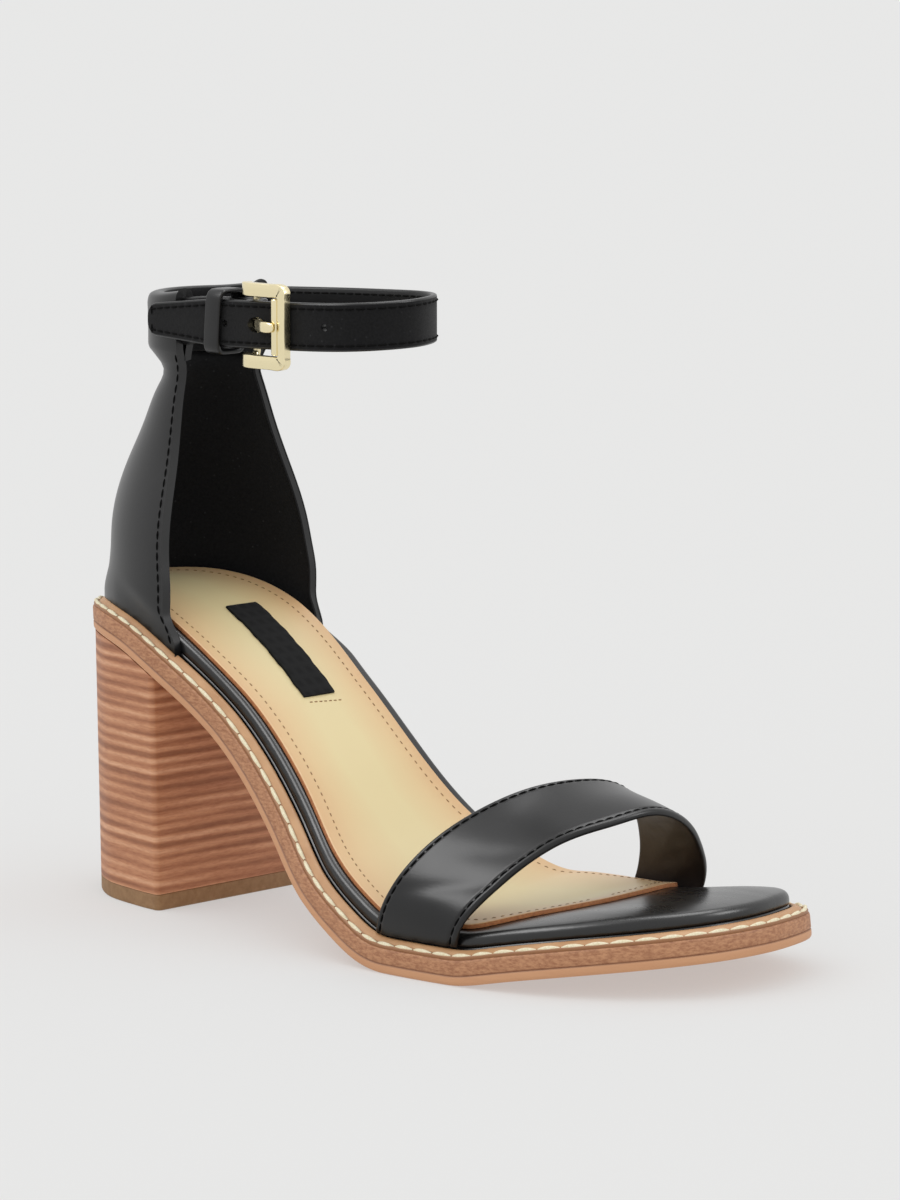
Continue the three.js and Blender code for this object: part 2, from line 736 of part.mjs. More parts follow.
const footOuter = inset(soleRing, COUNTER_FOOT_MARGIN);
const counterFrontX = COUNTER_SHAPE[0][2] * COUNTER_LENGTH;
const footPath = (() => {
  const lateral = footOuter.slice(0, SOLE_STATIONS).filter((p) => p.x < counterFrontX);
  const medial = footOuter.slice(SOLE_STATIONS + 1).filter((p) => p.x < counterFrontX);
  const lateralEnd = new THREE.Vector2(counterFrontX, yAt(footOuter.slice(0, SOLE_STATIONS), counterFrontX));
  const medialList = [footOuter[0], ...footOuter.slice(SOLE_STATIONS + 1).reverse()];
  const medialEnd = new THREE.Vector2(counterFrontX, yAt(medialList, counterFrontX));
  const path = [lateralEnd, ...lateral.reverse(), ...medial.reverse(), medialEnd];
  return path.map((p) => new THREE.Vector3(p.x, p.y, 0));
})();

function footPlan(share, depth) {
  const p = polylineShare(footPath, share);
  const ahead = polylineShare(footPath, Math.min(1, share + 0.01));
  const behind = polylineShare(footPath, Math.max(0, share - 0.01));
  const tangent = ahead.sub(behind).normalize();
  return new THREE.Vector2(p.x + tangent.y * depth, p.y - tangent.x * depth);
}

// Section of the counter from its foot up the outer face, over the fold and down the inner
// face. Wall rows: [share of the height from foot to tab, depth from the outer face].
const wallShares = [0, 0.05, 0.11, 0.2, 0.3, 0.4, 0.5, 0.6, 0.7, 0.8, 0.91, 1];
const tabBackX = COUNTER_SHAPE[11][1] * COUNTER_LENGTH;
const tabMiddleX = COUNTER_SHAPE[11][2] * COUNTER_LENGTH;
// The strap lies in a slightly tilted plane and dips a little inside the tab. Its tail, which
// passes outside the tab, doesn't dip: dips is 0 there.
const strapMiddleZ = (x, y, dips = 1) => {
  const level = THREE.MathUtils.smoothstep(x, tabBackX + STRAP_DIP_START, tabMiddleX + STRAP_DIP_END);
  const tilt = STRAP_RISE_PER_X * (x - BUCKLE_BAR_X) + STRAP_RISE_PER_Y * y;
  return STRAP_TOP + tilt - STRAP_WIDTH / 2 - STRAP_DIP * (1 - level) * dips;
};
const TAB_TOP_Z = strapMiddleZ(tabBackX, 0) + STRAP_WIDTH / 2 + TAB_RISE;
const STRAP_GAP = 0.45;
const SLEEVE = TAB_WALL + STRAP_THICKNESS + 2 * STRAP_GAP;
const FLARE_TOP_Z = TAB_FOOT_Z + TAB_FLARE;
const SLEEVE_FOOT_Z = TAB_FOOT_Z + TAB_FLARE * 2;
const foldRows = [
  [TAB_FOOT_Z + TAB_FLARE * 0.54, 0],
  [FLARE_TOP_Z, 0],
  [SLEEVE_FOOT_Z, 0],
  [TAB_TOP_Z - TAB_WALL * 1.7, 0],
  [TAB_TOP_Z - TAB_WALL * 0.45, TAB_WALL * 0.45],
  [TAB_TOP_Z, TAB_WALL * 1.45],
  [TAB_TOP_Z, SLEEVE - TAB_WALL * 0.45],
  [TAB_TOP_Z - TAB_WALL * 0.45, SLEEVE + TAB_WALL * 0.55],
  [TAB_TOP_Z - TAB_WALL * 1.7, SLEEVE + TAB_WALL],
  [SLEEVE_FOOT_Z, SLEEVE + TAB_WALL],
  [FLARE_TOP_Z, SLEEVE + TAB_WALL],
  [TAB_FOOT_Z + TAB_FLARE * 0.29, SLEEVE - TAB_WALL * 0.15],
  [TAB_FOOT_Z + TAB_FLARE * 0.25, SLEEVE - TAB_WALL * 1.08],
  [TAB_FOOT_Z + TAB_FLARE * 0.97, SLEEVE],
  [SLEEVE_FOOT_Z, SLEEVE],
  [TAB_TOP_Z - TAB_WALL * 1.85, SLEEVE],
  [TAB_TOP_Z - TAB_WALL, SLEEVE - TAB_WALL * 0.45],
  [TAB_TOP_Z - TAB_WALL, TAB_WALL * 1.45],
  [TAB_TOP_Z - TAB_WALL * 1.85, TAB_WALL],
  [SLEEVE_FOOT_Z, TAB_WALL],
  [TAB_FOOT_Z + TAB_FLARE * 1.08, TAB_WALL],
  [TAB_FOOT_Z + TAB_FLARE * 0.6, TAB_WALL],
];
const counterRings = [];
for (let i = 0; i <= COUNTER_STATIONS; i += 1) {
  const share = i / COUNTER_STATIONS;
  const foot = footPlan(share, 0);
  const footZ = lift(foot.x, foot.y, RIDGE_SEAT).z;
  const wallPoint = (rise, inner) => {
    const z = footZ + (TAB_FOOT_Z - footZ) * rise;
    const thick = THREE.MathUtils.lerp(FOOT_WALL, COUNTER_WALL, THREE.MathUtils.smoothstep(rise, 0.06, 0.16));
    const depth = inner ? thick : 0;
    const blend = 1 - THREE.MathUtils.smoothstep(rise, 0.03, 0.15);
    const upper = counterPlan(z, share, depth);
    const plan = upper.lerp(footPlan(share, depth), blend);
    const tilt = lift(foot.x, foot.y, RIDGE_SEAT).x - foot.x;
    return new THREE.Vector3(plan.x + tilt * blend, plan.y, z);
  };
  const ring = wallShares.map((rise) => wallPoint(rise, false));
  foldRows.forEach(([z, depth]) => {
    const p = counterPlan(z, share, depth);
    const level = THREE.MathUtils.smoothstep(z, FLARE_TOP_Z, SLEEVE_FOOT_Z);
    const tilt = strapMiddleZ(p.x, p.y) - strapMiddleZ(tabBackX, 0);
    ring.push(new THREE.Vector3(p.x, p.y, z + tilt * level));
  });
  [...wallShares].reverse().forEach((rise) => ring.push(wallPoint(rise, true)));
  counterRings.push(ring);
}

// Solid from a row of sections that aren't convex: the end faces are cut into triangles.
function loftPlain(rings, flatten) {
  const n = rings[0].length;
  const vertices = rings.flat().map((v) => v.clone());
  const faces = [];
  for (let r = 0; r < rings.length - 1; r += 1) {
    for (let i = 0; i < n; i += 1) {
      const j = (i + 1) % n;
      const a = r * n;
      const b = a + n;
      faces.push([a + i, a + j, b + j], [a + i, b + j, b + i]);
    }
  }
  const ends = [[0, true], [rings.length - 1, false]];
  ends.forEach(([r, forward]) => {
    const flat = rings[r].map(flatten);
    const turned = THREE.ShapeUtils.area(flat) < 0;
    const order = flat.map((_, i) => (turned ? n - 1 - i : i));
    const outline = order.map((i) => flat[i]);
    THREE.ShapeUtils.triangulateShape(outline, []).forEach(([a, b, c]) => {
      const face = [order[a], order[b], order[c]].map((i) => r * n + i);
      if (turned === forward) face.reverse();
      faces.push(face.reverse());
    });
  });
  return buildGeometry(vertices, faces);
}
addMesh('counter', loftPlain(counterRings, (v) => new THREE.Vector2(v.z, v.y)), 'leather');

// Ankle strap: one band from its eye on the buckle bar, back through the tab, round the ankle
// and through the buckle to the tail.

const EYE_RADIUS = BUCKLE_BAR_DIAMETER / 2 + 0.35 + STRAP_THICKNESS / 2;
const tabDepth = TAB_WALL + STRAP_GAP + STRAP_THICKNESS / 2;
const tabPoints = [1, 0.85, 0.68, 0.5, 0.32, 0.15, 0].map((share) => (
  counterPlan(SLEEVE_FOOT_Z, 1 - share, tabDepth)
));
const tailLine = [
  [BUCKLE_BAR_X + 12, TAIL_Y],
  [BUCKLE_BAR_X + 3, TAIL_Y - 0.05],
  [BUCKLE_BAR_X - 6, TAIL_Y],
  [KEEPER_X - 4, TAIL_Y + 0.15],
  [tabMiddleX, TAIL_Y + 0.45],
  [TAIL_TIP_X + 3, TAIL_Y + 0.6],
  [TAIL_TIP_X, TAIL_Y + 0.8],
];
const strapPlan = [];
[-125, -90, -50, 0, 50, 90].forEach((degrees) => {
  const a = THREE.MathUtils.degToRad(degrees);
  strapPlan.push([BUCKLE_BAR_X + EYE_RADIUS * Math.cos(a), BUCKLE_BAR_Y + EYE_RADIUS * Math.sin(a)]);
});
strapPlan.push([BUCKLE_BAR_X - 4, BUCKLE_BAR_Y + EYE_RADIUS - 0.25]);
strapPlan.push([KEEPER_X, BUCKLE_BAR_Y + EYE_RADIUS - 0.8]);
strapPlan.push([(KEEPER_X + tabMiddleX) / 2, (BUCKLE_BAR_Y + EYE_RADIUS - 0.8 + tabPoints[0].y) / 2]);
tabPoints.forEach((p) => strapPlan.push([p.x, p.y]));
LOOP_SHAPE.forEach(([x, y]) => strapPlan.push([tabMiddleX + x * LOOP_LENGTH, y * LOOP_WIDTH]));
tailLine.forEach((p) => strapPlan.push(p));

const strapCurve = new THREE.CatmullRomCurve3(
  strapPlan.map(([x, y]) => new THREE.Vector3(x, y, 0)),
  false,
  'centripetal',
);
const strapLength = strapCurve.getLength();
const strapSteps = [];
const eyeLength = 8;
for (let s = 0; s < eyeLength; s += 0.75) strapSteps.push(s);
for (let s = eyeLength; s < strapLength - 6; s += 3.1) strapSteps.push(s);
[5, 3, 1.6, 0.7, 0].forEach((s) => strapSteps.push(strapLength - s));

function strapHalfWidth(s) {
  const left = strapLength - s;
  const taper = 1 - THREE.MathUtils.clamp(left / TAIL_TAPER, 0, 1);
  const half = STRAP_WIDTH / 2 + (TAIL_TIP_WIDTH - STRAP_WIDTH) / 2 * taper;
  const round = THREE.MathUtils.clamp(left / 1.8, 0, 1);
  return half - 1.6 * (1 - Math.sqrt(1 - (1 - round) ** 2));
}
const strapRings = strapSteps.map((s) => {
  const u = s / strapLength;
  const p = strapCurve.getPointAt(u);
  const tangent = strapCurve.getTangentAt(u);
  const normal = new THREE.Vector2(tangent.y, -tangent.x).multiplyScalar(STRAP_THICKNESS / 2);
  const half = strapHalfWidth(s);
  const z = strapMiddleZ(p.x, p.y, s < strapLength * 0.75 ? 1 : 0);
  const side = [[1, half - 0.3], [0.6, half], [-0.6, half], [-1, half - 0.3]];
  const section = [...side, ...side.map(([a, b]) => [a, -b]).reverse()];
  return section.map(([a, b]) => new THREE.Vector3(p.x + normal.x * a, p.y + normal.y * a, z + b));
});
let strapSolid = toManifold(loft(strapRings, 'fan'));

// A prism with its long axis along y, used to cut the holes.
function yPrism(x, z, halfX, halfZ, yLow, yHigh, sides) {
  const ring = (y) => {
    const points = [];
    for (let i = 0; i < sides; i += 1) {
      const a = (i + 0.5) / sides * Math.PI * 2;
      points.push(new THREE.Vector3(x + halfX * Math.cos(a), y, z + halfZ * Math.sin(a)));
    }
    return points;
  };
  return toManifold(loft([ring(yLow), ring(yHigh)], 'fan'));
}
const prongHoleX = BUCKLE_BAR_X + 4.7;
const tailInner = TAIL_Y + STRAP_THICKNESS / 2 + 0.3;
const cutAt = (x, halfX, halfZ, high) => {
  strapSolid = strapSolid.subtract(
    yPrism(x, strapMiddleZ(x, TAIL_Y), halfX, halfZ, TAIL_Y - 2.5, high, 12),
  );
};
cutAt(prongHoleX, PRONG_SLOT_LENGTH / 2, PRONG_SLOT_WIDTH / 2, tailInner);
[-1, 1, 2].forEach((step) => {
  cutAt(prongHoleX + step * HOLE_PITCH, HOLE_DIAMETER / 2, HOLE_DIAMETER / 2, tailInner + 1.5);
});
// The slot in the eye that the prong turns in.
const slotRing = (y) => [[-4.2, -1], [4.2, -1], [4.2, 1], [-4.2, 1]].map(([dx, dz]) => (
  new THREE.Vector3(
    BUCKLE_BAR_X + dx,
    y,
    strapMiddleZ(BUCKLE_BAR_X, BUCKLE_BAR_Y) + dz * (PRONG_WIDTH / 2 + 0.4),
  )
));
strapSolid = strapSolid.subtract(toManifold(loft([
  slotRing(BUCKLE_BAR_Y - EYE_RADIUS - STRAP_THICKNESS / 2 - 0.15),
  slotRing(BUCKLE_BAR_Y + EYE_RADIUS + STRAP_THICKNESS),
], 'fan')));
addMesh('ankle_strap', fromManifold(strapSolid), 'leather');

// Sweep of a section along a path, with the section's second axis kept near `up`.
function sweep(path, sections, up, ends) {
  const n = path.length;
  const rings = path.map((p, i) => {
    const ahead = ends === 'loop' ? path[(i + 1) % n] : path[Math.min(n - 1, i + 1)];
    const behind = ends === 'loop' ? path[(i + n - 1) % n] : path[Math.max(0, i - 1)];
    const tangent = ahead.clone().sub(behind).normalize();
    const side = tangent.clone().cross(up).normalize();
    const rise = side.clone().cross(tangent).normalize();
    return sections(i).map(([a, b]) => (
      p.clone().addScaledVector(side, a).addScaledVector(rise, b)
    ));
  });
  return loft(rings, ends);
}
const roundBox = (a, b, c) => [
  [a - c, -b], [a, c - b], [a, b - c], [a - c, b],
  [c - a, b], [-a, b - c], [-a, c - b], [c - a, -b],
];

// Buckle frame: a closed ring whose front bar lies over the strap and whose rear bar lies in
// the strap's eye.
const BUCKLE_FRONT_X = BUCKLE_BAR_X + BUCKLE_LENGTH;
const strapOuter = TAIL_Y - STRAP_THICKNESS / 2;
const BUCKLE_FRONT_Y = strapOuter - 0.4 - BUCKLE_DEPTH / 2;
const buckleZ = strapMiddleZ(BUCKLE_BAR_X + 8, TAIL_Y);
const armZ = (BUCKLE_HEIGHT - BUCKLE_ARM) / 2;
// Columns: x, height share of armZ, share of the way from the front bar's y to the rear bar's.
const buckleHalf = [
  [BUCKLE_FRONT_X, 0, 0],
  [BUCKLE_FRONT_X, 0.4, 0],
  [BUCKLE_FRONT_X, 0.78, 0],
  [BUCKLE_FRONT_X - 0.25, 0.93, 0],
  [BUCKLE_FRONT_X - 1.1, 1, 0],
  [BUCKLE_FRONT_X - 4, 1, 0],
  [BUCKLE_FRONT_X - 8, 1, 0],
  [BUCKLE_BAR_X + 3.6, 1, 0.05],
  [BUCKLE_BAR_X + 1.6, 1, 0.25],
  [BUCKLE_BAR_X + 0.5, 0.98, 0.6],
  [BUCKLE_BAR_X + 0.1, 0.92, 0.9],
  [BUCKLE_BAR_X, 0.8, 1],
  [BUCKLE_BAR_X, 0.4, 1],
  [BUCKLE_BAR_X, 0, 1],
];
const bucklePoint = ([x, rise, way], sign) => new THREE.Vector3(
  x,
  BUCKLE_FRONT_Y + (BUCKLE_BAR_Y - BUCKLE_FRONT_Y) * way,
  buckleZ + sign * rise * armZ,
);
const bucklePath = [
  ...buckleHalf.map((row) => bucklePoint(row, 1)),
  ...buckleHalf.slice(1, -1).reverse().map((row) => bucklePoint(row, -1)),
];
const buckleRow = (i) => {
  const k = i < buckleHalf.length ? i : 2 * buckleHalf.length - 2 - i;
  return buckleHalf[k];
};
addMesh('buckle_frame', sweep(bucklePath, (i) => {
  const [, rise, way] = buckleRow(i);
  const bar = BUCKLE_BAR_DIAMETER / 2;
  const arm = rise > 0.85 ? BUCKLE_ARM / 2 : BUCKLE_DEPTH / 2;
  const slim = THREE.MathUtils.smoothstep(way, 0.3, 1);
  const a = THREE.MathUtils.lerp(arm, bar, slim);
  const b = THREE.MathUtils.lerp(BUCKLE_DEPTH / 2, bar, slim);
  return roundBox(a, b, 0.28 * Math.min(a, b) + 0.2);
}, new THREE.Vector3(0, 1, 0), 'loop'), 'metal');

// Roller between the arms, on the strap side of the front bar.
const ROLLER_X = BUCKLE_FRONT_X - BUCKLE_DEPTH / 2 - GAP - ROLLER_DIAMETER / 2 - 0.2;
const ROLLER_Y = strapOuter - GAP - ROLLER_DIAMETER / 2;
const rollerHalf = BUCKLE_HEIGHT / 2 - BUCKLE_ARM - GAP;
const rollerRing = (z, r) => {
  const points = [];
  for (let i = 0; i < 14; i += 1) {
    const a = i / 14 * Math.PI * 2;
    points.push(new THREE.Vector3(ROLLER_X + r * Math.cos(a), ROLLER_Y + r * Math.sin(a), z));
  }
  return points;
};
addMesh('buckle_roller', loft([
  rollerRing(buckleZ - rollerHalf, ROLLER_DIAMETER / 2 - 0.25),
  rollerRing(buckleZ - rollerHalf + 0.3, ROLLER_DIAMETER / 2),
  rollerRing(buckleZ + rollerHalf - 0.3, ROLLER_DIAMETER / 2),
  rollerRing(buckleZ + rollerHalf, ROLLER_DIAMETER / 2 - 0.25),
], 'fan'), 'metal');

// Prong: hooks round the rear bar, comes out through the strap's hole and rests on the roller.
const hookRadius = BUCKLE_BAR_DIAMETER / 2 + 0.35 + PRONG_THICKNESS / 2;
const prongPlan = [25, 70, 115, 160, 205, 245, 275].map((degrees) => {
  const a = THREE.MathUtils.degToRad(degrees);
  return [BUCKLE_BAR_X + hookRadius * Math.cos(a), BUCKLE_BAR_Y + hookRadius * Math.sin(a)];
});
const prongRest = ROLLER_Y - ROLLER_DIAMETER / 2 - GAP - PRONG_THICKNESS / 2;
prongPlan.push([BUCKLE_BAR_X + 2.1, BUCKLE_BAR_Y - hookRadius - 0.4]);
prongPlan.push([prongHoleX - 0.9, TAIL_Y + 0.9]);
prongPlan.push([prongHoleX + 0.4, TAIL_Y - 0.9]);
prongPlan.push([prongHoleX + 2.2, strapOuter - 1.2]);
prongPlan.push([ROLLER_X - 2.6, prongRest + 0.25]);
prongPlan.push([ROLLER_X - 0.6, prongRest]);
prongPlan.push([ROLLER_X + 1.2, prongRest]);
const prongCurve = new THREE.CatmullRomCurve3(
  prongPlan.map(([x, y]) => new THREE.Vector3(x, y, buckleZ)),
  false,
  'centripetal',
);
const prongSteps = 20;
const prongPath = prongCurve.getSpacedPoints(prongSteps);
addMesh('buckle_prong', sweep(prongPath, (i) => {
  const end = Math.min(1, (prongSteps - i + 0.6) / 2);
  const a = PRONG_THICKNESS / 2;
  const b = PRONG_WIDTH / 2 * (0.55 + 0.45 * end);
  return roundBox(a, b, 0.3);
}, new THREE.Vector3(0, 0, 1), 'fan'), 'metal');

// Keeper: a band round the tail and the strap under it.
const keeperOutY = strapOuter - 0.35 - KEEPER_WALL / 2;
const keeperInY = BUCKLE_BAR_Y + EYE_RADIUS - 0.8 + STRAP_THICKNESS / 2 + 0.6 + KEEPER_WALL / 2;
const keeperZ = strapMiddleZ(KEEPER_X, TAIL_Y) + 0.3;
const keeperHalfZ = (KEEPER_HEIGHT - KEEPER_WALL) / 2;
const keeperMiddleY = (keeperOutY + keeperInY) / 2;
const keeperHalfY = (keeperInY - keeperOutY) / 2;
// Columns: y as a share of the half depth, z as a share of the half height.
const keeperQuarter = [[1, 0], [1, 0.45], [0.96, 0.8], [0.78, 0.96], [0.4, 1.0]];
const keeperShape = [
  ...keeperQuarter,
  [0, 1],
  ...[...keeperQuarter].reverse().map(([a, b]) => [-a, b]),
  ...keeperQuarter.slice(1).map(([a, b]) => [-a, -b]),
  [0, -1],
  ...[...keeperQuarter].reverse().slice(0, -1).map(([a, b]) => [a, -b]),
];
const keeperPath = keeperShape.map(([a, b]) => new THREE.Vector3(
  KEEPER_X + 0.6 * b,
  keeperMiddleY + a * keeperHalfY,
  keeperZ + b * keeperHalfZ,
));
addMesh('keeper', sweep(keeperPath, () => (
  roundBox(KEEPER_WALL / 2, KEEPER_WIDTH / 2, 0.35)
), new THREE.Vector3(1, 0, 0), 'loop'), 'leather');

// Toe strap: an arched band whose feet stand on the welt's ridge.

const archBack = column(TOE_STRAP_ARCH, 1, TOE_STRAP_RADIUS);
const archFront = column(TOE_STRAP_ARCH, 2, TOE_STRAP_RADIUS);
const lateralFoot = footOuter.slice(0, SOLE_STATIONS + 1);
const medialFoot = [footOuter[0], ...footOuter.slice(SOLE_STATIONS + 1).reverse()];

function toeStrapPoint(turn, across) {
  const angle = turn * Math.PI;
  const along = (1 - Math.cos(angle)) / 2;
  const edge = ([near, far, lean]) => (
    TOE_STRAP_START + TOE_STRAP_WIDTH * (near + (far - near) * along + lean * Math.sin(angle))
  );
  const x = THREE.MathUtils.lerp(edge(TOE_STRAP_BACK), edge(TOE_STRAP_FRONT), across);
  const radius = THREE.MathUtils.lerp(archBack(turn), archFront(turn), across);
  const crown = 0.35 * Math.sin(angle) * 4 * across * (1 - across);
  let y = TOE_STRAP_MIDDLE_Y - (radius + crown) * Math.cos(angle);
  let z = (radius + crown) * Math.sin(angle);
  const base = lift(x, 0, RIDGE_SEAT + 0.3).z;
  const foot = (side, weight) => {
    y += (yAt(side, x) - y) * weight;
    z += base * weight;
  };
  const near = Math.max(0, 1 - turn / 0.16) ** 2;
  const far = Math.max(0, 1 - (1 - turn) / 0.16) ** 2;
  z += base * (1 - near - far);
  if (near > 0) foot(lateralFoot, near);
  if (far > 0) foot(medialFoot, far);
  return new THREE.Vector3(x, y, z);
}

// Section rows: [share of the width, depth as a share of the wall].
const bandSection = [
  [0, 0.3], [0.025, 0.02], [0.14, 0], [0.38, 0], [0.62, 0], [0.86, 0], [0.975, 0.02], [1, 0.3],
  [1, 0.75], [0.98, 1], [0.74, 1], [0.5, 1], [0.26, 1], [0.02, 1], [0, 0.75],
];
const toeStrapRings = [];
for (let i = 0; i <= TOE_STRAP_STATIONS; i += 1) {
  const turn = i / TOE_STRAP_STATIONS;
  const end = Math.min(turn, 1 - turn);
  const wall = THREE.MathUtils.lerp(FOOT_WALL, TOE_STRAP_WALL, THREE.MathUtils.smoothstep(end, 0.03, 0.1));
  const bandNormal = (across) => {
    const step = 0.01;
    const a = toeStrapPoint(Math.min(1, turn + step), across);
    a.sub(toeStrapPoint(Math.max(0, turn - step), across));
    const b = toeStrapPoint(turn, Math.min(1, across + 0.05));
    b.sub(toeStrapPoint(turn, Math.max(0, across - 0.05)));
    const normal = a.cross(b).normalize();
    if (end < 0.03) normal.set(normal.x * 0.3, normal.y, 0).normalize();
    return normal;
  };
  toeStrapRings.push(bandSection.map(([across, depth]) => {
    const p = toeStrapPoint(turn, across);
    return p.addScaledVector(bandNormal(across), depth * wall);
  }));
}
addMesh('toe_strap', loft(toeStrapRings, 'fan'), 'leather');

// Put the origin under the middle of the shoe.
const bounds = new THREE.Box3().setFromObject(group);
group.position.set(-(bounds.min.x + bounds.max.x) / 2, -(bounds.min.y + bounds.max.y) / 2, 0);

export default group;
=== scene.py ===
"""A right-foot block heel sandal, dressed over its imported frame.

Shapes are worked out in millimetres with x from the back of the heel and y from the middle of
the heel, as in the part's source, and moved to the frame's origin in metres when a mesh is made.
"""

import math

import bpy
from mathutils import Matrix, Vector
import numpy as np


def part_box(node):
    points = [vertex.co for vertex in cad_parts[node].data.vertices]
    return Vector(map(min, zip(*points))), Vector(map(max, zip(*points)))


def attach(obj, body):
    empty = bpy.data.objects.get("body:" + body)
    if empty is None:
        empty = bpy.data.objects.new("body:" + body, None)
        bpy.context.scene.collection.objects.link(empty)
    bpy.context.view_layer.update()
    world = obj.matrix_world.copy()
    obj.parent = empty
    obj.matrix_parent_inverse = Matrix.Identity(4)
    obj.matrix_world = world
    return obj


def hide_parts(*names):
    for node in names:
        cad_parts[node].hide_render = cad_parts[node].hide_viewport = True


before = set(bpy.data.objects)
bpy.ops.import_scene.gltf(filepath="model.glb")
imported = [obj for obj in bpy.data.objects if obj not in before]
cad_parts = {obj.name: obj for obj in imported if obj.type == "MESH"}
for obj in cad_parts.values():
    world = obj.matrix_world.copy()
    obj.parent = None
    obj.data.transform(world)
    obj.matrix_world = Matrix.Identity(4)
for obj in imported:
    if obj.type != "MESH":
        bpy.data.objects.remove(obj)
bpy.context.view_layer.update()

MM = 0.001

# Sole
SOLE_LENGTH = 216.5
BALL_WIDTH = 86.0
HEEL_RISE = 68.5
TOE_SPRING = 9.0
SOLE_THICKNESS = 6.2
GROOVE_HEIGHT = 2.4
GROOVE_DEPTH = 0.25
EDGE_ROUND = 1.0
EDGE_RISE = 1.15
SIDE_HEIGHT = 3.5
GAP = 0.3

# Welt, footbed and sock
WELT_WIDTH = 4.3
WELT_WAIST_WIDTH = 1.8
WELT_LIP = 0.6
WELT_RIDGE = 2.0
FOOTBED_HEIGHT = 5.6
FOOTBED_CROWN = 1.8
CROWN_SIDE = 16.0
CROWN_TIP = 22.0
BALL_BANK = 1.6
SEAT_CUP = 0.8
SEAT_CUP_WIDTH = 9.0
SOCK_MARGIN = 6.4
SOCK_FAR_MARGIN = 5.3
SOCK_CORNER = 8.0
SOCK_THICKNESS = 0.9
LABEL_LENGTH = 29.8
LABEL_WIDTH = 11.2
LABEL_THICKNESS = 0.5
LABEL_START = 35.6
LABEL_MIDDLE_Y = 0.7
LABEL_TURN = 4.0

# Heel block
HEEL_BREAST = 42.0
HEEL_TOP_INSET = 0.4
HEEL_BASE_LENGTH = 41.2
HEEL_BASE_WIDTH = 54.2
HEEL_TIP_THICKNESS = 4.2
HEEL_CORNER = 1.4
TIP_REACH = 22.0
LIFT_THICKNESS = 2.9
LIFT_SWAY = 2.2

# Heel counter
COUNTER_HEIGHT = 61.8
COUNTER_LENGTH = 45.0
COUNTER_WIDTH = 53.0
COUNTER_WALL = 1.6
COUNTER_FOOT_MARGIN = 3.05
COUNTER_SHIFT_Y = -0.9
COUNTER_GIRTH = 100.0
COUNTER_ROUND = 0.55
FOOT_WALL = 1.2
TAB_WALL = 1.3
TAB_RISE = 1.8
TAB_FLARE = 6.5
STRAP_DIP = 1.8
STRAP_DIP_START = 8.0
STRAP_DIP_END = 10.0

# Ankle strap and buckle
STRAP_WIDTH = 12.0
STRAP_THICKNESS = 1.6
STRAP_TOP = 157.35
STRAP_RISE_PER_X = 0.025
STRAP_RISE_PER_Y = 0.027
STRAP_GAP = 0.45
LOOP_LENGTH = 88.8
LOOP_WIDTH = 35.0
TAIL_Y = -17.6
TAIL_TIP_X = 28.5
TAIL_TIP_WIDTH = 8.0
TAIL_TAPER = 24.0
HOLE_PITCH = 11.2
HOLE_DIAMETER = 1.8
PRONG_SLOT_LENGTH = 6.0
PRONG_SLOT_WIDTH = 3.9
BUCKLE_HEIGHT = 21.3
BUCKLE_ARM = 3.3
BUCKLE_DEPTH = 2.4
BUCKLE_BAR_X = 64.1
BUCKLE_BAR_Y = -13.6
BUCKLE_BAR_DIAMETER = 1.8
BUCKLE_LENGTH = 16.2
ROLLER_DIAMETER = 2.4
PRONG_WIDTH = 2.8
PRONG_THICKNESS = 1.2
KEEPER_X = 54.2
KEEPER_WIDTH = 5.2
KEEPER_WALL = 1.2
KEEPER_HEIGHT = 16.6

# Toe strap
TOE_STRAP_START = 131.2
TOE_STRAP_RADIUS = 38.4
TOE_STRAP_MIDDLE_Y = -1.6
TOE_STRAP_WIDTH = 26.2
TOE_STRAP_WALL = 1.8

# Stitching and holes
WELT_STITCH = 5.2
WELT_STITCH_GAP = 0.75
UPPER_STITCH = 2.1
UPPER_STITCH_GAP = 0.6
SOCK_HOLE_PITCH = 2.2
SOCK_STITCH_MARGIN = 3.6
COUNTER_STITCH_SHARE = 0.0215
STRAP_STITCH_START = 75.0
STRAP_STITCH_MARGIN = 1.45

# How finely the pieces are divided
OUTLINE_SPAN = 80
OUTLINE_SAMPLES = 4000
COARSE_STATIONS = 38
SOLE_STATIONS = 220
SOCK_STATIONS = 180
COUNTER_STATIONS = 150
TOE_STRAP_STATIONS = 130

# Plan outline: x as a share of SOLE_LENGTH, y as a share of BALL_WIDTH.
LATERAL_OUTLINE = [
    (0.000, -0.007), (0.022, -0.172), (0.079, -0.291), (0.144, -0.337), (0.194, -0.353),
    (0.301, -0.345), (0.395, -0.384), (0.485, -0.457), (0.579, -0.499), (0.675, -0.503),
    (0.769, -0.476), (0.861, -0.402), (0.938, -0.270), (0.985, -0.110),
]
MEDIAL_OUTLINE = [
    (1.000, 0.058), (0.991, 0.221), (0.967, 0.360), (0.917, 0.447), (0.850, 0.465),
    (0.776, 0.456), (0.702, 0.444), (0.660, 0.440), (0.569, 0.403), (0.479, 0.326),
    (0.386, 0.274), (0.292, 0.283), (0.197, 0.321), (0.144, 0.316), (0.084, 0.270),
    (0.026, 0.158),
]
# Underside seen from the side: x as a share of SOLE_LENGTH, height as a share of HEEL_RISE.
ARCH_PROFILE = [
    (0.000, 0.991), (0.068, 1.001), (0.169, 0.920), (0.269, 0.742), (0.370, 0.489),
    (0.461, 0.231), (0.540, 0.086), (0.589, 0.020), (0.633, 0.000),
]
# Toe spring: x as a share of SOLE_LENGTH, height as a share of TOE_SPRING.
TOE_PROFILE = [(0.725, 0.000), (0.782, 0.200), (0.883, 0.622), (1.000, 1.000)]
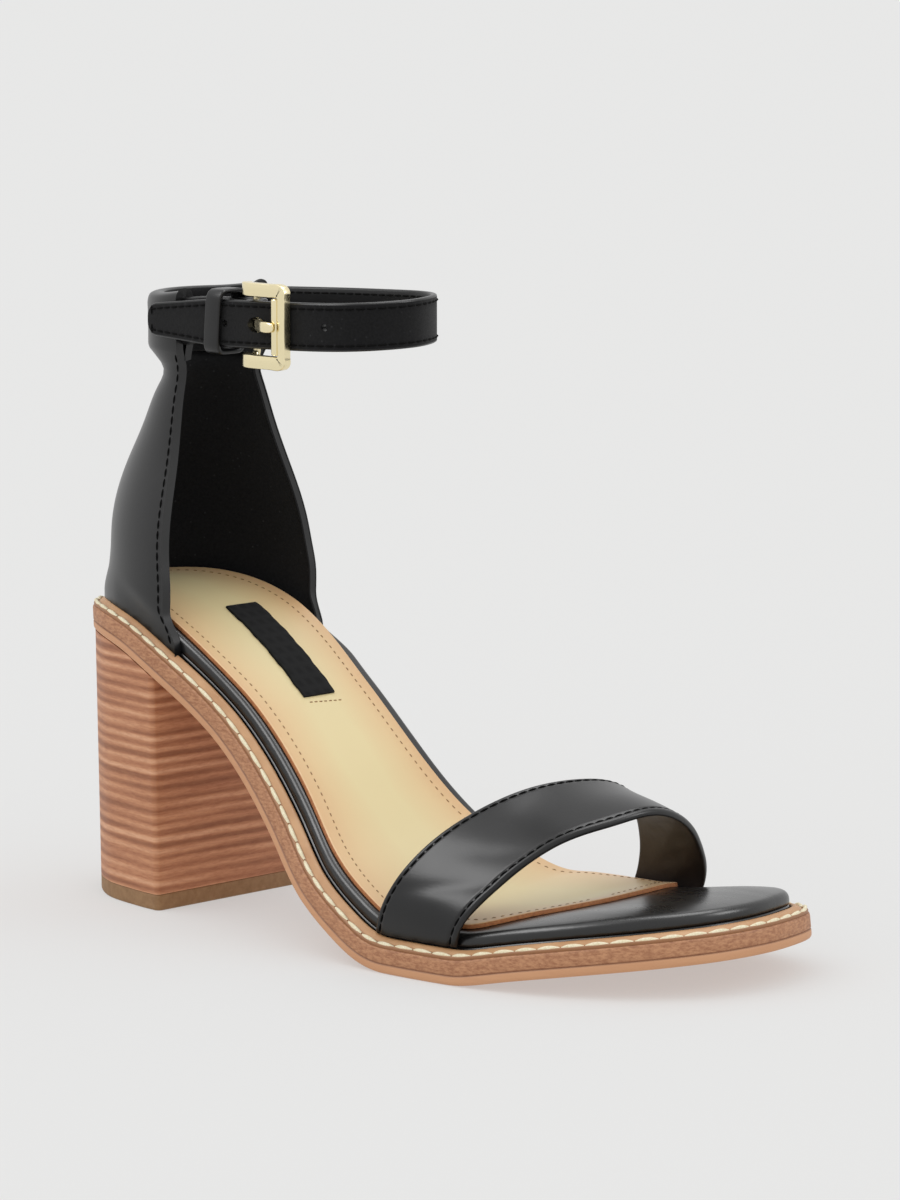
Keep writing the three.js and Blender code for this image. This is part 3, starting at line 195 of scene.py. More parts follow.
# Front end of the sock: x as a share of SOLE_LENGTH, y as a share of BALL_WIDTH.
SOCK_FRONT = [
    (0.730, -0.395), (0.762, -0.337), (0.788, -0.227), (0.801, -0.064), (0.801, 0.116),
    (0.794, 0.279), (0.774, 0.370),
]
# Counter: height as a share of COUNTER_HEIGHT, back x and front x as shares of COUNTER_LENGTH,
# half width as a share of COUNTER_WIDTH.
COUNTER_SHAPE = [
    (0.000, 0.090, 0.985, 0.506), (0.115, 0.088, 0.985, 0.505), (0.213, 0.103, 0.963, 0.496),
    (0.311, 0.102, 0.942, 0.481), (0.443, 0.122, 0.914, 0.442), (0.590, 0.197, 0.879, 0.384),
    (0.754, 0.322, 0.841, 0.327), (0.902, 0.432, 0.815, 0.280), (0.985, 0.470, 0.811, 0.262),
    (1.030, 0.396, 0.824, 0.280), (1.060, 0.349, 0.833, 0.295), (1.090, 0.3425, 0.836, 0.2995),
    (1.213, 0.342, 0.836, 0.300), (1.400, 0.342, 0.836, 0.300),
]
# Ankle loop in plan: x from the tab's middle as a share of LOOP_LENGTH, y of LOOP_WIDTH.
LOOP_SHAPE = [
    (0.135, 0.440), (0.305, 0.503), (0.450, 0.526), (0.585, 0.524), (0.670, 0.445),
    (0.722, 0.300), (0.756, 0.029), (0.722, -0.246), (0.662, -0.395), (0.582, -0.470),
    (0.495, -0.498),
]
# Toe strap arches: share of half a turn, back radius and front radius of TOE_STRAP_RADIUS.
TOE_STRAP_ARCH = [
    (0.000, 1.088, 1.111), (0.143, 1.049, 0.903), (0.286, 0.969, 0.769), (0.429, 0.930, 0.683),
    (0.571, 0.945, 0.712), (0.714, 1.014, 0.784), (0.857, 1.011, 0.910), (1.000, 1.012, 1.053),
]
# Toe strap edges along the shoe, as shares of TOE_STRAP_WIDTH: near side, far side, lean.
TOE_STRAP_BACK = (0.000, 0.563, 0.644)
TOE_STRAP_FRONT = (1.000, 1.412, 0.675)


# Curves

def smoothstep(value, low, high):
    share = np.clip((np.asarray(value, float) - low) / (high - low), 0, 1)
    return share * share * (3 - 2 * share)


def cubic(xs, ys, slope_start, slope_end):
    """Cubic spline with known end slopes: gives value and slope."""
    xs, ys = np.asarray(xs, float), np.asarray(ys, float)
    n = len(xs)
    step = np.diff(xs)
    rise = np.diff(ys) / step
    matrix, right = np.eye(n), np.zeros(n)
    right[0], right[-1] = slope_start, slope_end
    for i in range(1, n - 1):
        matrix[i, i - 1] = step[i]
        matrix[i, i] = 2 * (step[i - 1] + step[i])
        matrix[i, i + 1] = step[i - 1]
        right[i] = 3 * (step[i] * rise[i - 1] + step[i - 1] * rise[i])
    slopes = np.linalg.solve(matrix, right)

    def value_and_slope(x):
        x = np.asarray(x, float)
        i = np.clip(np.searchsorted(xs, x, side="left") - 1, 0, n - 2)
        h = step[i]
        t = np.clip((x - xs[i]) / h, 0, 1)
        s = 1 - t
        value = ys[i] * s * s * (1 + 2 * t) + ys[i + 1] * t * t * (3 - 2 * t)
        value = value + h * (slopes[i] * t * s * s - slopes[i + 1] * t * t * s)
        slope = 6 * t * s * rise[i] + slopes[i] * (1 - 4 * t + 3 * t * t)
        slope = slope + slopes[i + 1] * (3 * t * t - 2 * t)
        return value, slope
    return value_and_slope


def column(table, index, scale):
    xs = [row[0] for row in table]
    ys = [row[index] * scale for row in table]
    start = (ys[1] - ys[0]) / (xs[1] - xs[0])
    end = (ys[-1] - ys[-2]) / (xs[-1] - xs[-2])
    curve = cubic(xs, ys, start, end)
    return lambda x: curve(x)[0]


arch = cubic([a * SOLE_LENGTH for a, _ in ARCH_PROFILE],
             [b * HEEL_RISE for _, b in ARCH_PROFILE], 0.06, 0)
toe = cubic([a * SOLE_LENGTH for a, _ in TOE_PROFILE],
            [b * TOE_SPRING for _, b in TOE_PROFILE], 0, 0.12)
FLAT_START = ARCH_PROFILE[-1][0] * SOLE_LENGTH
FLAT_END = TOE_PROFILE[0][0] * SOLE_LENGTH


def underside(x):
    x = np.asarray(x, float)
    arch_z, arch_slope = arch(x)
    toe_z, toe_slope = toe(x)
    z = np.where(x < FLAT_START, arch_z, np.where(x > FLAT_END, toe_z, 0.0))
    slope = np.where(x < FLAT_START, arch_slope, np.where(x > FLAT_END, toe_slope, 0.0))
    return z, slope


def lift(x, y, height):
    """Point at a height measured square to the underside."""
    x, y = np.asarray(x, float), np.asarray(y, float)
    z, slope = underside(x)
    length = np.hypot(1, slope)
    return np.stack([x - slope * height / length, y + 0 * x, z + height / length], axis=-1)


def lift_normal(x):
    _, slope = underside(x)
    length = np.hypot(1, slope)
    return np.stack([-slope / length, 0 * length, 1 / length], axis=-1)


def catmull(points, closed, per_span=24):
    """Centripetal Catmull-Rom curve through points, as a dense polyline."""
    points = np.asarray(points, float)
    n = len(points)
    spans = n if closed else n - 1
    out = []
    for i in range(spans):
        if closed:
            p0, p1, p2, p3 = (points[(i + k) % n] for k in (-1, 0, 1, 2))
        else:
            p1, p2 = points[i], points[i + 1]
            p0 = points[i - 1] if i > 0 else 2 * p1 - p2
            p3 = points[i + 2] if i + 2 < n else 2 * p2 - p1
        d1 = max(np.linalg.norm(p1 - p0) ** 0.5, 1e-6)
        d2 = max(np.linalg.norm(p2 - p1) ** 0.5, 1e-6)
        d3 = max(np.linalg.norm(p3 - p2) ** 0.5, 1e-6)
        start = ((p1 - p0) / d1 - (p2 - p0) / (d1 + d2) + (p2 - p1) / d2) * d2
        end = ((p2 - p1) / d2 - (p3 - p1) / (d2 + d3) + (p3 - p2) / d3) * d2
        for t in np.arange(per_span) / per_span:
            s = 1 - t
            out.append(p1 * s * s * (1 + 2 * t) + p2 * t * t * (3 - 2 * t)
                       + start * t * s * s - end * t * t * s)
    if not closed:
        out.append(points[-1])
    return np.array(out)


def running_length(points):
    return np.concatenate([[0], np.cumsum(np.linalg.norm(np.diff(points, axis=0), axis=1))])


def at_length(points, lengths):
    """Points of a polyline at the given lengths from its start."""
    run = running_length(points)
    return np.stack([np.interp(lengths, run, points[:, k]) for k in range(points.shape[1])], -1)


def at_share(points, share):
    return at_length(points, np.asarray(share) * running_length(points)[-1])


def tangents(points, closed=False):
    if closed:
        step = np.roll(points, -1, axis=0) - np.roll(points, 1, axis=0)
    else:
        step = np.gradient(points, axis=0)
    return step / np.maximum(np.linalg.norm(step, axis=1, keepdims=True), 1e-12)


def plan_outline(points, stations):
    """Closed plan outline whose two sides share their x stations, as the frame's is."""
    count = OUTLINE_SAMPLES
    dense = catmull(points, True, OUTLINE_SPAN)
    dense = at_share(np.vstack([dense, dense[:1]]), np.arange(count) / count)
    back, front = dense[:, 0].argmin(), dense[:, 0].argmax()
    order = (np.arange(count) + back) % count
    cut = int((front - back) % count)
    lateral, medial = dense[order[:cut + 1]], dense[np.append(order[cut:], back)][::-1]
    xs = dense[back, 0] + (dense[front, 0] - dense[back, 0]) * (
        1 - np.cos(np.pi * np.arange(stations + 1) / stations)) / 2
    near = np.interp(xs, np.maximum.accumulate(lateral[:, 0]), lateral[:, 1])
    far = np.interp(xs, np.maximum.accumulate(medial[:, 0]), medial[:, 1])
    near[[0, -1]] = dense[[back, front], 1]
    ring = list(zip(xs, near))
    ring += [(xs[i], far[i]) for i in range(stations - 1, 0, -1)]
    return np.array(ring)


def inset(ring, margin):
    tangent = tangents(ring, closed=True)
    return np.stack([ring[:, 0] - tangent[:, 1] * margin, ring[:, 1] + tangent[:, 0] * margin], -1)


def side_y(ring, x, medial):
    half = len(ring) // 2
    side = np.vstack([ring[:1], ring[half:][::-1]]) if medial else ring[:half + 1]
    return np.interp(x, np.maximum.accumulate(side[:, 0]), side[:, 1])


# Making meshes

outline_points = [(x * SOLE_LENGTH, y * BALL_WIDTH) for x, y in LATERAL_OUTLINE + MEDIAL_OUTLINE]
sole_ring = plan_outline(outline_points, SOLE_STATIONS)

# The frame's origin is under the middle of the shoe: where that lies in the coordinates here.
low, high = (np.array(corner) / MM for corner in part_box("outsole"))
sole_side = lift(sole_ring[:, 0], sole_ring[:, 1], SIDE_HEIGHT)
middle = (low + high) / 2 - (sole_side.min(axis=0) + sole_side.max(axis=0)) / 2
SHIFT = np.array([middle[0], middle[1], 0.0])


def to_frame(points):
    return (np.asarray(points, float) + SHIFT) * MM


def mesh_object(name, points, faces, materials, indices=None, values=None, sharp=40):
    """Object at the origin from points in millimetres. values are named numbers per point."""
    mesh = bpy.data.meshes.new(name)
    mesh.from_pydata(to_frame(points).tolist(), [], faces)
    for material in materials:
        mesh.materials.append(material)
    if indices is not None:
        mesh.polygons.foreach_set("material_index", np.asarray(indices, np.int32))
    for key, numbers in (values or {}).items():
        layer = mesh.attributes.new(key, "FLOAT", "POINT")
        layer.data.foreach_set("value", np.asarray(numbers, np.float32).ravel())
    mesh.validate(clean_customdata=False)
    mesh.update()
    mesh.shade_smooth()
    mesh.set_sharp_from_angle(angle=math.radians(sharp))
    piece = bpy.data.objects.new(name, mesh)
    bpy.context.collection.objects.link(piece)
    return piece


def face_outwards(mesh):
    """Turns a closed mesh right side out if it is inside out."""
    mesh.calc_loop_triangles()
    corners = np.empty(len(mesh.loop_triangles) * 3, np.int32)
    mesh.loop_triangles.foreach_get("vertices", corners)
    spots = np.empty(len(mesh.vertices) * 3)
    mesh.vertices.foreach_get("co", spots)
    a, b, c = (spots.reshape(-1, 3)[corners.reshape(-1, 3)[:, k]] for k in range(3))
    if np.einsum("ij,ij->i", a, np.cross(b, c)).sum() < 0:
        mesh.flip_normals()


def loft(name, rings, ends, materials, row_slots=None, cap_slots=(0, 0), values=None, sharp=40):
    """Solid between closed rings (rows, points, 3). ends: strip, fan, loop or a list of faces."""
    rings = np.asarray(rings, float)
    rows, n, _ = rings.shape
    points = rings.reshape(-1, 3)
    last = rows if ends == "loop" else rows - 1
    faces, slots = [], []
    for r in range(last):
        a, b = r * n, ((r + 1) % rows) * n
        for i in range(n):
            j = (i + 1) % n
            faces.append((a + i, a + j, b + j, b + i))
            slots.append(0 if row_slots is None else row_slots(r, i))
    extra = []
    for base, forward, slot in ((0, True, cap_slots[0]), ((rows - 1) * n, False, cap_slots[1])):
        if ends == "loop":
            break
        made = []
        if ends == "fan":
            extra.append(points[base:base + n].mean(axis=0))
            centre = len(points) + len(extra) - 1
            made = [(centre, base + (i + 1) % n, base + i) for i in range(n)]
        elif ends == "strip":
            half = n // 2
            made.append((base, base + n - 1, base + 1))
            for i in range(1, half - 1):
                made.append((base + i, base + n - i, base + n - i - 1, base + i + 1))
            made.append((base + half - 1, base + half + 1, base + half))
        else:
            made = [tuple(base + i for i in face) for face in ends]
        faces += made if forward else [face[::-1] for face in made]
        slots += [slot] * len(made)
    if extra:
        points = np.vstack([points, extra])
    if values:
        values = {k: np.append(np.asarray(v, float).ravel(), [0.0] * len(extra))
                  for k, v in values.items()}
    piece = mesh_object(name, points, faces, materials, slots, values, sharp)
    face_outwards(piece.data)
    return piece


def sweep_rings(path, sections, up, closed=False):
    path = np.asarray(path, float)
    ahead = tangents(path, closed)
    up = np.broadcast_to(np.asarray(up, float), path.shape)
    side = np.cross(ahead, up)
    side /= np.linalg.norm(side, axis=1, keepdims=True)
    rise = np.cross(side, ahead)
    rings = []
    for i, point in enumerate(path):
        section = np.asarray(sections(i), float)
        rings.append(point + section[:, :1] * side[i] + section[:, 1:] * rise[i])
    return np.array(rings)


def rounded_box(a, b, radius, corner=5):
    points = []
    for k, (sx, sy) in enumerate(((1, -1), (1, 1), (-1, 1), (-1, -1))):
        for step in range(corner + 1):
            angle = math.pi / 2 * (k - 1 + step / corner)
            points.append((sx * (a - radius) + radius * math.cos(angle),
                           sy * (b - radius) + radius * math.sin(angle)))
    return points


# Materials

def linear(code):
    """Linear colour from an sRGB hex code."""
    parts = [int(code[i:i + 2], 16) / 255 for i in (1, 3, 5)]
    return tuple(p / 12.92 if p <= 0.04045 else ((p + 0.055) / 1.055) ** 2.4
                 for p in parts) + (1.0,)


def add(tree, kind, inputs=None, stops=None, **settings):
    """A node with its settings, its colour stops where it has them, and its inputs.

    An input is a plain value, a socket, or a node that stands for its first output.
    """
    made = tree.nodes.new(kind)
    for key, value in settings.items():
        setattr(made, key, value)
    if stops:
        elements = made.color_ramp.elements
        elements.remove(elements[-1])
        elements[0].position, elements[0].color = stops[0]
        for position, shade in stops[1:]:
            elements.new(position).color = shade
    for key, value in (inputs or {}).items():
        if isinstance(value, bpy.types.Node):
            value = value.outputs[0]
        if isinstance(value, bpy.types.NodeSocket):
            tree.links.new(value, made.inputs[key])
        else:
            made.inputs[key].default_value = value
    return made


PER_METRE = 1000.0
BLACK_STOP, WHITE_STOP = (0, 0, 0, 1), (1, 1, 1, 1)


def finished(name, surface_inputs):
    """A material from a function that gives the inputs of its Principled surface."""
    material = bpy.data.materials.new(name)
    material.use_nodes = True
    tree = material.node_tree
    tree.nodes.clear()
    place = add(tree, "ShaderNodeTexCoord").outputs["Object"]
    surface = add(tree, "ShaderNodeBsdfPrincipled", surface_inputs(tree, place))
    add(tree, "ShaderNodeOutputMaterial", {"Surface": surface})
    return material


def grained(size, detail, dark, pale, roughness, depth, specular=0.5, coarseness=0.55):
    """Surface inputs with one grain that tints and dents. size and depth are in millimetres."""
    def surface_inputs(tree, place):
        grain = add(tree, "ShaderNodeTexNoise", {
            "Vector": place, "Scale": PER_METRE / size, "Detail": detail,
            "Roughness": coarseness})
        shade = add(tree, "ShaderNodeValToRGB", {"Fac": grain},
                    stops=[(0.3, linear(dark)), (0.7, linear(pale))])
        inputs = {"Base Color": shade, "Roughness": roughness, "Specular IOR Level": specular}
        if depth:
            inputs["Normal"] = add(tree, "ShaderNodeBump", {
                "Height": grain, "Distance": depth * MM, "Strength": 0.6})
        return inputs
    return surface_inputs


def calf_leather(tree, place):
    """Smooth chrome-tanned calf with a satin finish: a broad soft gloss over very fine pores."""
    pores = add(tree, "ShaderNodeTexNoise", {
        "Vector": place, "Scale": PER_METRE / 0.55, "Detail": 4.0, "Roughness": 0.55})
    clouds = add(tree, "ShaderNodeTexNoise", {
        "Vector": place, "Scale": PER_METRE / 14.0, "Detail": 2.0, "Roughness": 0.55})
    shade = add(tree, "ShaderNodeValToRGB", {"Fac": clouds},
                stops=[(0.3, linear("#0e0e0f")), (0.7, linear("#151516"))])
    gloss = add(tree, "ShaderNodeMapRange", {"Value": clouds, "To Min": 0.27, "To Max": 0.36})
    relief = add(tree, "ShaderNodeBump", {
        "Height": pores, "Distance": 0.03 * MM, "Strength": 0.55})
    return {"Base Color": shade, "Roughness": gloss, "Specular IOR Level": 0.42,
            "Normal": relief}


def polished_leather(tree, place):
    """The same calf drawn tight over the sole's edge: harder gloss with rubbed streaks."""
    pores = add(tree, "ShaderNodeTexNoise", {
        "Vector": place, "Scale": PER_METRE / 0.7, "Detail": 3.0, "Roughness": 0.55})
    lengthwise = add(tree, "ShaderNodeMapping", {"Vector": place, "Scale": (0.25, 1, 1)})
    streaks = add(tree, "ShaderNodeTexNoise", {
        "Vector": lengthwise, "Scale": PER_METRE / 5.0, "Detail": 3.0, "Roughness": 0.55})
    gloss = add(tree, "ShaderNodeMapRange", {"Value": streaks, "To Min": 0.22, "To Max": 0.34})
    fine = add(tree, "ShaderNodeBump", {"Height": pores, "Distance": 0.03 * MM, "Strength": 0.5})
    relief = add(tree, "ShaderNodeBump", {
        "Height": streaks, "Distance": 0.12 * MM, "Strength": 0.5, "Normal": fine})
    return {"Base Color": linear("#0c0c0d"), "Roughness": gloss, "Specular IOR Level": 0.6,
            "Normal": relief}


def suede_lining(tree, place):
    """Black suede, buffed on its flesh side: matt, with pale specks of raised nap."""
    nap = add(tree, "ShaderNodeTexNoise", {
        "Vector": place, "Scale": PER_METRE / 0.7, "Detail": 5.0, "Roughness": 0.7})
    specks = add(tree, "ShaderNodeTexVoronoi", {"Vector": place, "Scale": PER_METRE / 2.6})
    dots = add(tree, "ShaderNodeValToRGB", {"Fac": specks.outputs["Distance"]},
               stops=[(0.0, WHITE_STOP), (0.14, BLACK_STOP)])
    shade = add(tree, "ShaderNodeValToRGB", {"Fac": nap},
                stops=[(0.35, linear("#0f0f10")), (0.75, linear("#1b1b1c"))])
    faint = add(tree, "ShaderNodeMath", {0: dots, 1: 0.35}, operation="MULTIPLY")
    colour = add(tree, "ShaderNodeMix", {0: faint, 6: shade, 7: linear("#4a4a4c")},
                 data_type="RGBA").outputs[2]
    relief = add(tree, "ShaderNodeBump", {"Height": nap, "Distance": 0.12 * MM, "Strength": 0.7})
    return {"Base Color": colour, "Roughness": 0.95, "Specular IOR Level": 0.15,
            "Sheen Weight": 0.12, "Normal": relief}


def strap_lining(tree, place):
    """Dark brown sheepskin lining of the toe strap, smooth with soft creases, darkened in their
    hollows by painted shade.
    """
    grain = add(tree, "ShaderNodeTexNoise", {
        "Vector": place, "Scale": PER_METRE / 0.9, "Detail": 4.0, "Roughness": 0.55})
    across = add(tree, "ShaderNodeMapping", {"Vector": place, "Scale": (1, 0.4, 1)})
    folds = add(tree, "ShaderNodeTexNoise", {
        "Vector": across, "Scale": PER_METRE / 9.0, "Detail": 2.0, "Roughness": 0.55})
    # Painted shade: the colour follows the creases' relief, darker in their hollows.
    shade = add(tree, "ShaderNodeValToRGB", {"Fac": folds},
                stops=[(0.3, linear("#1b1411")), (0.75, linear("#2d221d"))])
    fine = add(tree, "ShaderNodeBump", {"Height": grain, "Distance": 0.06 * MM, "Strength": 0.6})
    relief = add(tree, "ShaderNodeBump", {
        "Height": folds, "Distance": 0.5 * MM, "Strength": 0.5, "Normal": fine})
    return {"Base Color": shade, "Roughness": 0.5, "Normal": relief}


def outsole_edge(tree, place):
    """Leather-board sole edge: a burnished, speckled upper band over a paler lower one, with
    painted shade as a dark line along the groove.
    """
    height = add(tree, "ShaderNodeAttribute", attribute_name="side_height").outputs["Fac"]
    coarse = add(tree, "ShaderNodeMapping", {"Vector": place, "Scale": (0.55, 0.55, 1.4)})
    specks = add(tree, "ShaderNodeTexNoise", {
        "Vector": coarse, "Scale": PER_METRE / 0.9, "Detail": 4.0, "Roughness": 0.7})
    level = add(tree, "ShaderNodeMapping", {"Vector": place, "Scale": (0.12, 0.12, 1.0)})
    streaks = add(tree, "ShaderNodeTexNoise", {
        "Vector": level, "Scale": PER_METRE / 1.6, "Detail": 3.0, "Roughness": 0.55})
    spots = add(tree, "ShaderNodeValToRGB", {"Fac": specks},
                stops=[(0.38, BLACK_STOP), (0.62, WHITE_STOP)])
    dark = add(tree, "ShaderNodeMix", {
        0: spots, 6: linear("#a06c4c"), 7: linear("#c28e68")}, data_type="RGBA").outputs[2]
    pale = add(tree, "ShaderNodeMix", {
        0: streaks, 6: linear("#c48e68"), 7: linear("#d3a077")}, data_type="RGBA").outputs[2]
    half = add(tree, "ShaderNodeMath", {0: streaks, 1: 0.5}, operation="MULTIPLY")
    edge = add(tree, "ShaderNodeMath", {0: height, 1: half}, operation="ADD")
    band = add(tree, "ShaderNodeMapRange", {"Value": edge, "From Min": 2.45, "From Max": 2.85})
    colour = add(tree, "ShaderNodeMix", {0: band, 6: pale, 7: dark}, data_type="RGBA").outputs[2]
    # Painted shade: the groove is drawn as a darker line.
    above = add(tree, "ShaderNodeMath", {0: height, 1: GROOVE_HEIGHT}, operation="SUBTRACT")
    groove = add(tree, "ShaderNodeMath", {0: above}, operation="ABSOLUTE")
    line = add(tree, "ShaderNodeMapRange", {
        "Value": groove, "From Min": 0.1, "From Max": 0.4, "To Min": 0.55, "To Max": 0.0})
    lined = add(tree, "ShaderNodeMix", {0: line, 6: colour, 7: linear("#6e4534")},
                data_type="RGBA").outputs[2]
    gloss = add(tree, "ShaderNodeMapRange", {"Value": streaks, "To Min": 0.5, "To Max": 0.66})
    fine = add(tree, "ShaderNodeBump", {
        "Height": streaks, "Distance": 0.08 * MM, "Strength": 0.5})
    relief = add(tree, "ShaderNodeBump", {
        "Height": specks, "Distance": 0.07 * MM, "Strength": 0.6, "Normal": fine})
    return {"Base Color": lined, "Roughness": gloss, "Specular IOR Level": 0.4, "Normal": relief}


def welt_leather(tree, place):
    """Vegetable-tanned welt: warm tan, waxed smooth on the ridge, with painted shade that darkens
    it where it lies low, in its stitch channel and down its outer side.
    """
    grain = add(tree, "ShaderNodeTexNoise", {
        "Vector": place, "Scale": PER_METRE / 1.2, "Detail": 4.0, "Roughness": 0.55})
    clouds = add(tree, "ShaderNodeTexNoise", {
        "Vector": place, "Scale": PER_METRE / 9.0, "Detail": 3.0, "Roughness": 0.55})
    ridge = add(tree, "ShaderNodeAttribute", attribute_name="ridge").outputs["Fac"]
    # Painted shade: darker brown where the welt lies low (ridge near or below 0).
    corner = add(tree, "ShaderNodeMapRange", {"Value": ridge, "From Min": 0.0, "From Max": 0.45})
    tan = add(tree, "ShaderNodeValToRGB", {"Fac": clouds},
              stops=[(0.3, linear("#c08e60")), (0.7, linear("#d2a476"))])
    colour = add(tree, "ShaderNodeMix", {0: corner, 6: linear("#9a6a45"), 7: tan},
                 data_type="RGBA").outputs[2]
    gloss = add(tree, "ShaderNodeMapRange", {"Value": clouds, "To Min": 0.42, "To Max": 0.55})
    relief = add(tree, "ShaderNodeBump", {"Height": grain, "Distance": 0.05 * MM, "Strength": 0.5})
    return {"Base Color": colour, "Roughness": gloss, "Specular IOR Level": 0.45,
            "Normal": relief}


def stacked_leather(tree, place):
    """Heel of stacked leather board: uneven pale and dark lifts with a fibrous cut grain."""
    flat = add(tree, "ShaderNodeMapping", {"Vector": place, "Scale": (1, 1, 0.6)})
    sway = add(tree, "ShaderNodeTexNoise", {
        "Vector": flat, "Scale": PER_METRE / 60.0, "Detail": 1.5, "Roughness": 0.55})
    split = add(tree, "ShaderNodeSeparateXYZ", {"Vector": place}).outputs
    centred = add(tree, "ShaderNodeMath", {0: sway, 1: 0.5}, operation="SUBTRACT")
    drift = add(tree, "ShaderNodeMath", {0: centred, 1: LIFT_SWAY * MM}, operation="MULTIPLY")
    level = add(tree, "ShaderNodeMath", {0: split["Z"], 1: drift}, operation="ADD")
    lifts = {axis: add(tree, "ShaderNodeMath", {0: split[axis], 1: 0.03}, operation="MULTIPLY")
             for axis in ("X", "Y")}
    lifts = add(tree, "ShaderNodeCombineXYZ", {**lifts, "Z": level})
    bands = add(tree, "ShaderNodeTexNoise", {
        "Vector": lifts, "Scale": PER_METRE / 2.4, "Detail": 2.0, "Roughness": 0.55})
    wave = level
    for operation, number in (("MULTIPLY", 2 * math.pi / (LIFT_THICKNESS * MM)), ("SINE", 0.0),
                              ("MULTIPLY", 0.16)):
        wave = add(tree, "ShaderNodeMath", {0: wave, 1: number}, operation=operation)
    layer = add(tree, "ShaderNodeMath", {0: wave, 1: bands}, operation="ADD")
    combed = add(tree, "ShaderNodeMapping", {"Vector": place, "Scale": (0.25, 0.25, 1.8)})
    fibres = add(tree, "ShaderNodeTexNoise", {
        "Vector": combed, "Scale": PER_METRE / 0.8, "Detail": 4.0, "Roughness": 0.7})
    colour = add(tree, "ShaderNodeValToRGB", {"Fac": layer}, stops=[
        (0.3, linear("#9c6442")), (0.46, linear("#b67b57")),
        (0.6, linear("#c98f68")), (0.78, linear("#dda883"))])
    fibre = add(tree, "ShaderNodeValToRGB", {"Fac": fibres},
                stops=[(0.35, linear("#b58465")), (0.6, linear("#ffffff"))])
    combined = add(tree, "ShaderNodeMix", {0: 0.35, 6: colour, 7: fibre},
                   data_type="RGBA", blend_type="MULTIPLY").outputs[2]
    gloss = add(tree, "ShaderNodeMapRange", {"Value": bands, "To Min": 0.45, "To Max": 0.6})
    fine = add(tree, "ShaderNodeBump", {
        "Height": fibres, "Distance": 0.06 * MM, "Strength": 0.6})
    relief = add(tree, "ShaderNodeBump", {
        "Height": layer, "Distance": 0.16 * MM, "Strength": 0.5, "Normal": fine})
    return {"Base Color": combined, "Roughness": gloss, "Specular IOR Level": 0.4,
            "Normal": relief}


def insole_leather(tree, place):
    """Gold-tan pearlised insole, peach towards the edges; its sheen is painted in, which makes it
    pale straw in the middle.
    """
    grain = add(tree, "ShaderNodeTexNoise", {
        "Vector": place, "Scale": PER_METRE / 0.6, "Detail": 4.0, "Roughness": 0.55})
    clouds = add(tree, "ShaderNodeTexNoise", {
        "Vector": place, "Scale": PER_METRE / 26.0, "Detail": 2.0, "Roughness": 0.55})
    inward = add(tree, "ShaderNodeAttribute", attribute_name="inward").outputs["Fac"]
    centred = add(tree, "ShaderNodeMath", {0: clouds, 1: 0.5}, operation="SUBTRACT")
    uneven = add(tree, "ShaderNodeMath", {0: centred, 1: 0.3}, operation="MULTIPLY")
    share = add(tree, "ShaderNodeMath", {0: inward, 1: uneven}, operation="ADD")
    # Painted sheen: paler towards the middle, peach at the edges, a little uneven.
    colour = add(tree, "ShaderNodeValToRGB", {"Fac": share}, stops=[
        (0.0, linear("#e2b884")), (0.3, linear("#e8c994")), (0.75, linear("#ead7a2"))])
    relief = add(tree, "ShaderNodeBump", {
        "Height": grain, "Distance": 0.03 * MM, "Strength": 0.6})
    return {"Base Color": colour, "Roughness": 0.42, "Specular IOR Level": 0.5,
            "Sheen Weight": 0.1, "Normal": relief}


def woven_patch(tree, place):
    """Damask-woven polyester patch: fine crossing ribs, plain black."""
    ribs = [add(tree, "ShaderNodeTexWave", {
        "Vector": place, "Scale": PER_METRE / 11.0, "Distortion": 0.4},
        bands_direction=direction).outputs["Fac"] for direction in ("X", "Y")]
    weave = add(tree, "ShaderNodeMath", {0: ribs[0], 1: ribs[1]}, operation="MAXIMUM")
    shade = add(tree, "ShaderNodeValToRGB", {"Fac": weave},
                stops=[(0.2, linear("#080809")), (0.9, linear("#141415"))])
    relief = add(tree, "ShaderNodeBump", {"Height": weave, "Distance": 0.06 * MM, "Strength": 0.7})
    return {"Base Color": shade, "Roughness": 0.85, "Specular IOR Level": 0.12,
            "Sheen Weight": 0.04, "Normal": relief}


def pale_gold(tree, place):
    """Pale gold electroplate on a zinc casting: bright, with a faint polishing haze."""
    haze = add(tree, "ShaderNodeTexNoise", {
        "Vector": place, "Scale": PER_METRE / 3.0, "Detail": 3.0, "Roughness": 0.55})
    gloss = add(tree, "ShaderNodeMapRange", {"Value": haze, "To Min": 0.16, "To Max": 0.3})
    relief = add(tree, "ShaderNodeBump", {"Height": haze, "Distance": 0.02 * MM, "Strength": 0.4})
    return {"Base Color": linear("#f3e6bd"), "Metallic": 1.0, "Roughness": gloss,
            "Normal": relief}


def glowing_paper_painted_light(tree, place):
    """Pale seamless paper with a painted glow, which keeps the shadow soft and light."""
    # Painted light: the emission lifts the floor and lightens the shadow on it.
    return {"Base Color": linear("#aaaaa9"), "Roughness": 1.0, "Specular IOR Level": 0.0,
            "Emission Color": linear("#ffffff"), "Emission Strength": 0.405}


LEATHER = finished("satin_calf_leather", calf_leather)
RAND = finished("polished_calf_leather", polished_leather)
SUEDE = finished("black_suede_lining", suede_lining)
LINING = finished("brown_sheepskin_lining", strap_lining)
SOLE_EDGE = finished("burnished_leather_board", outsole_edge)
WELT = finished("waxed_tan_welt", welt_leather)
# Thick waxed linen thread: its twist shows as fine ribs on cream.
CREAM_THREAD = finished("cream_waxed_thread", grained(0.5, 2.0, "#e6d8b0", "#fbf2d6", 0.6, 0.08))
# Bonded nylon thread of the upper: dull black, so that each stitch reads as a dark dash.
BLACK_THREAD = finished("black_nylon_thread", grained(
    0.35, 2.0, "#040404", "#040404", 0.85, 0.05, specular=0.12))
HEEL = finished("stacked_leather_board", stacked_leather)
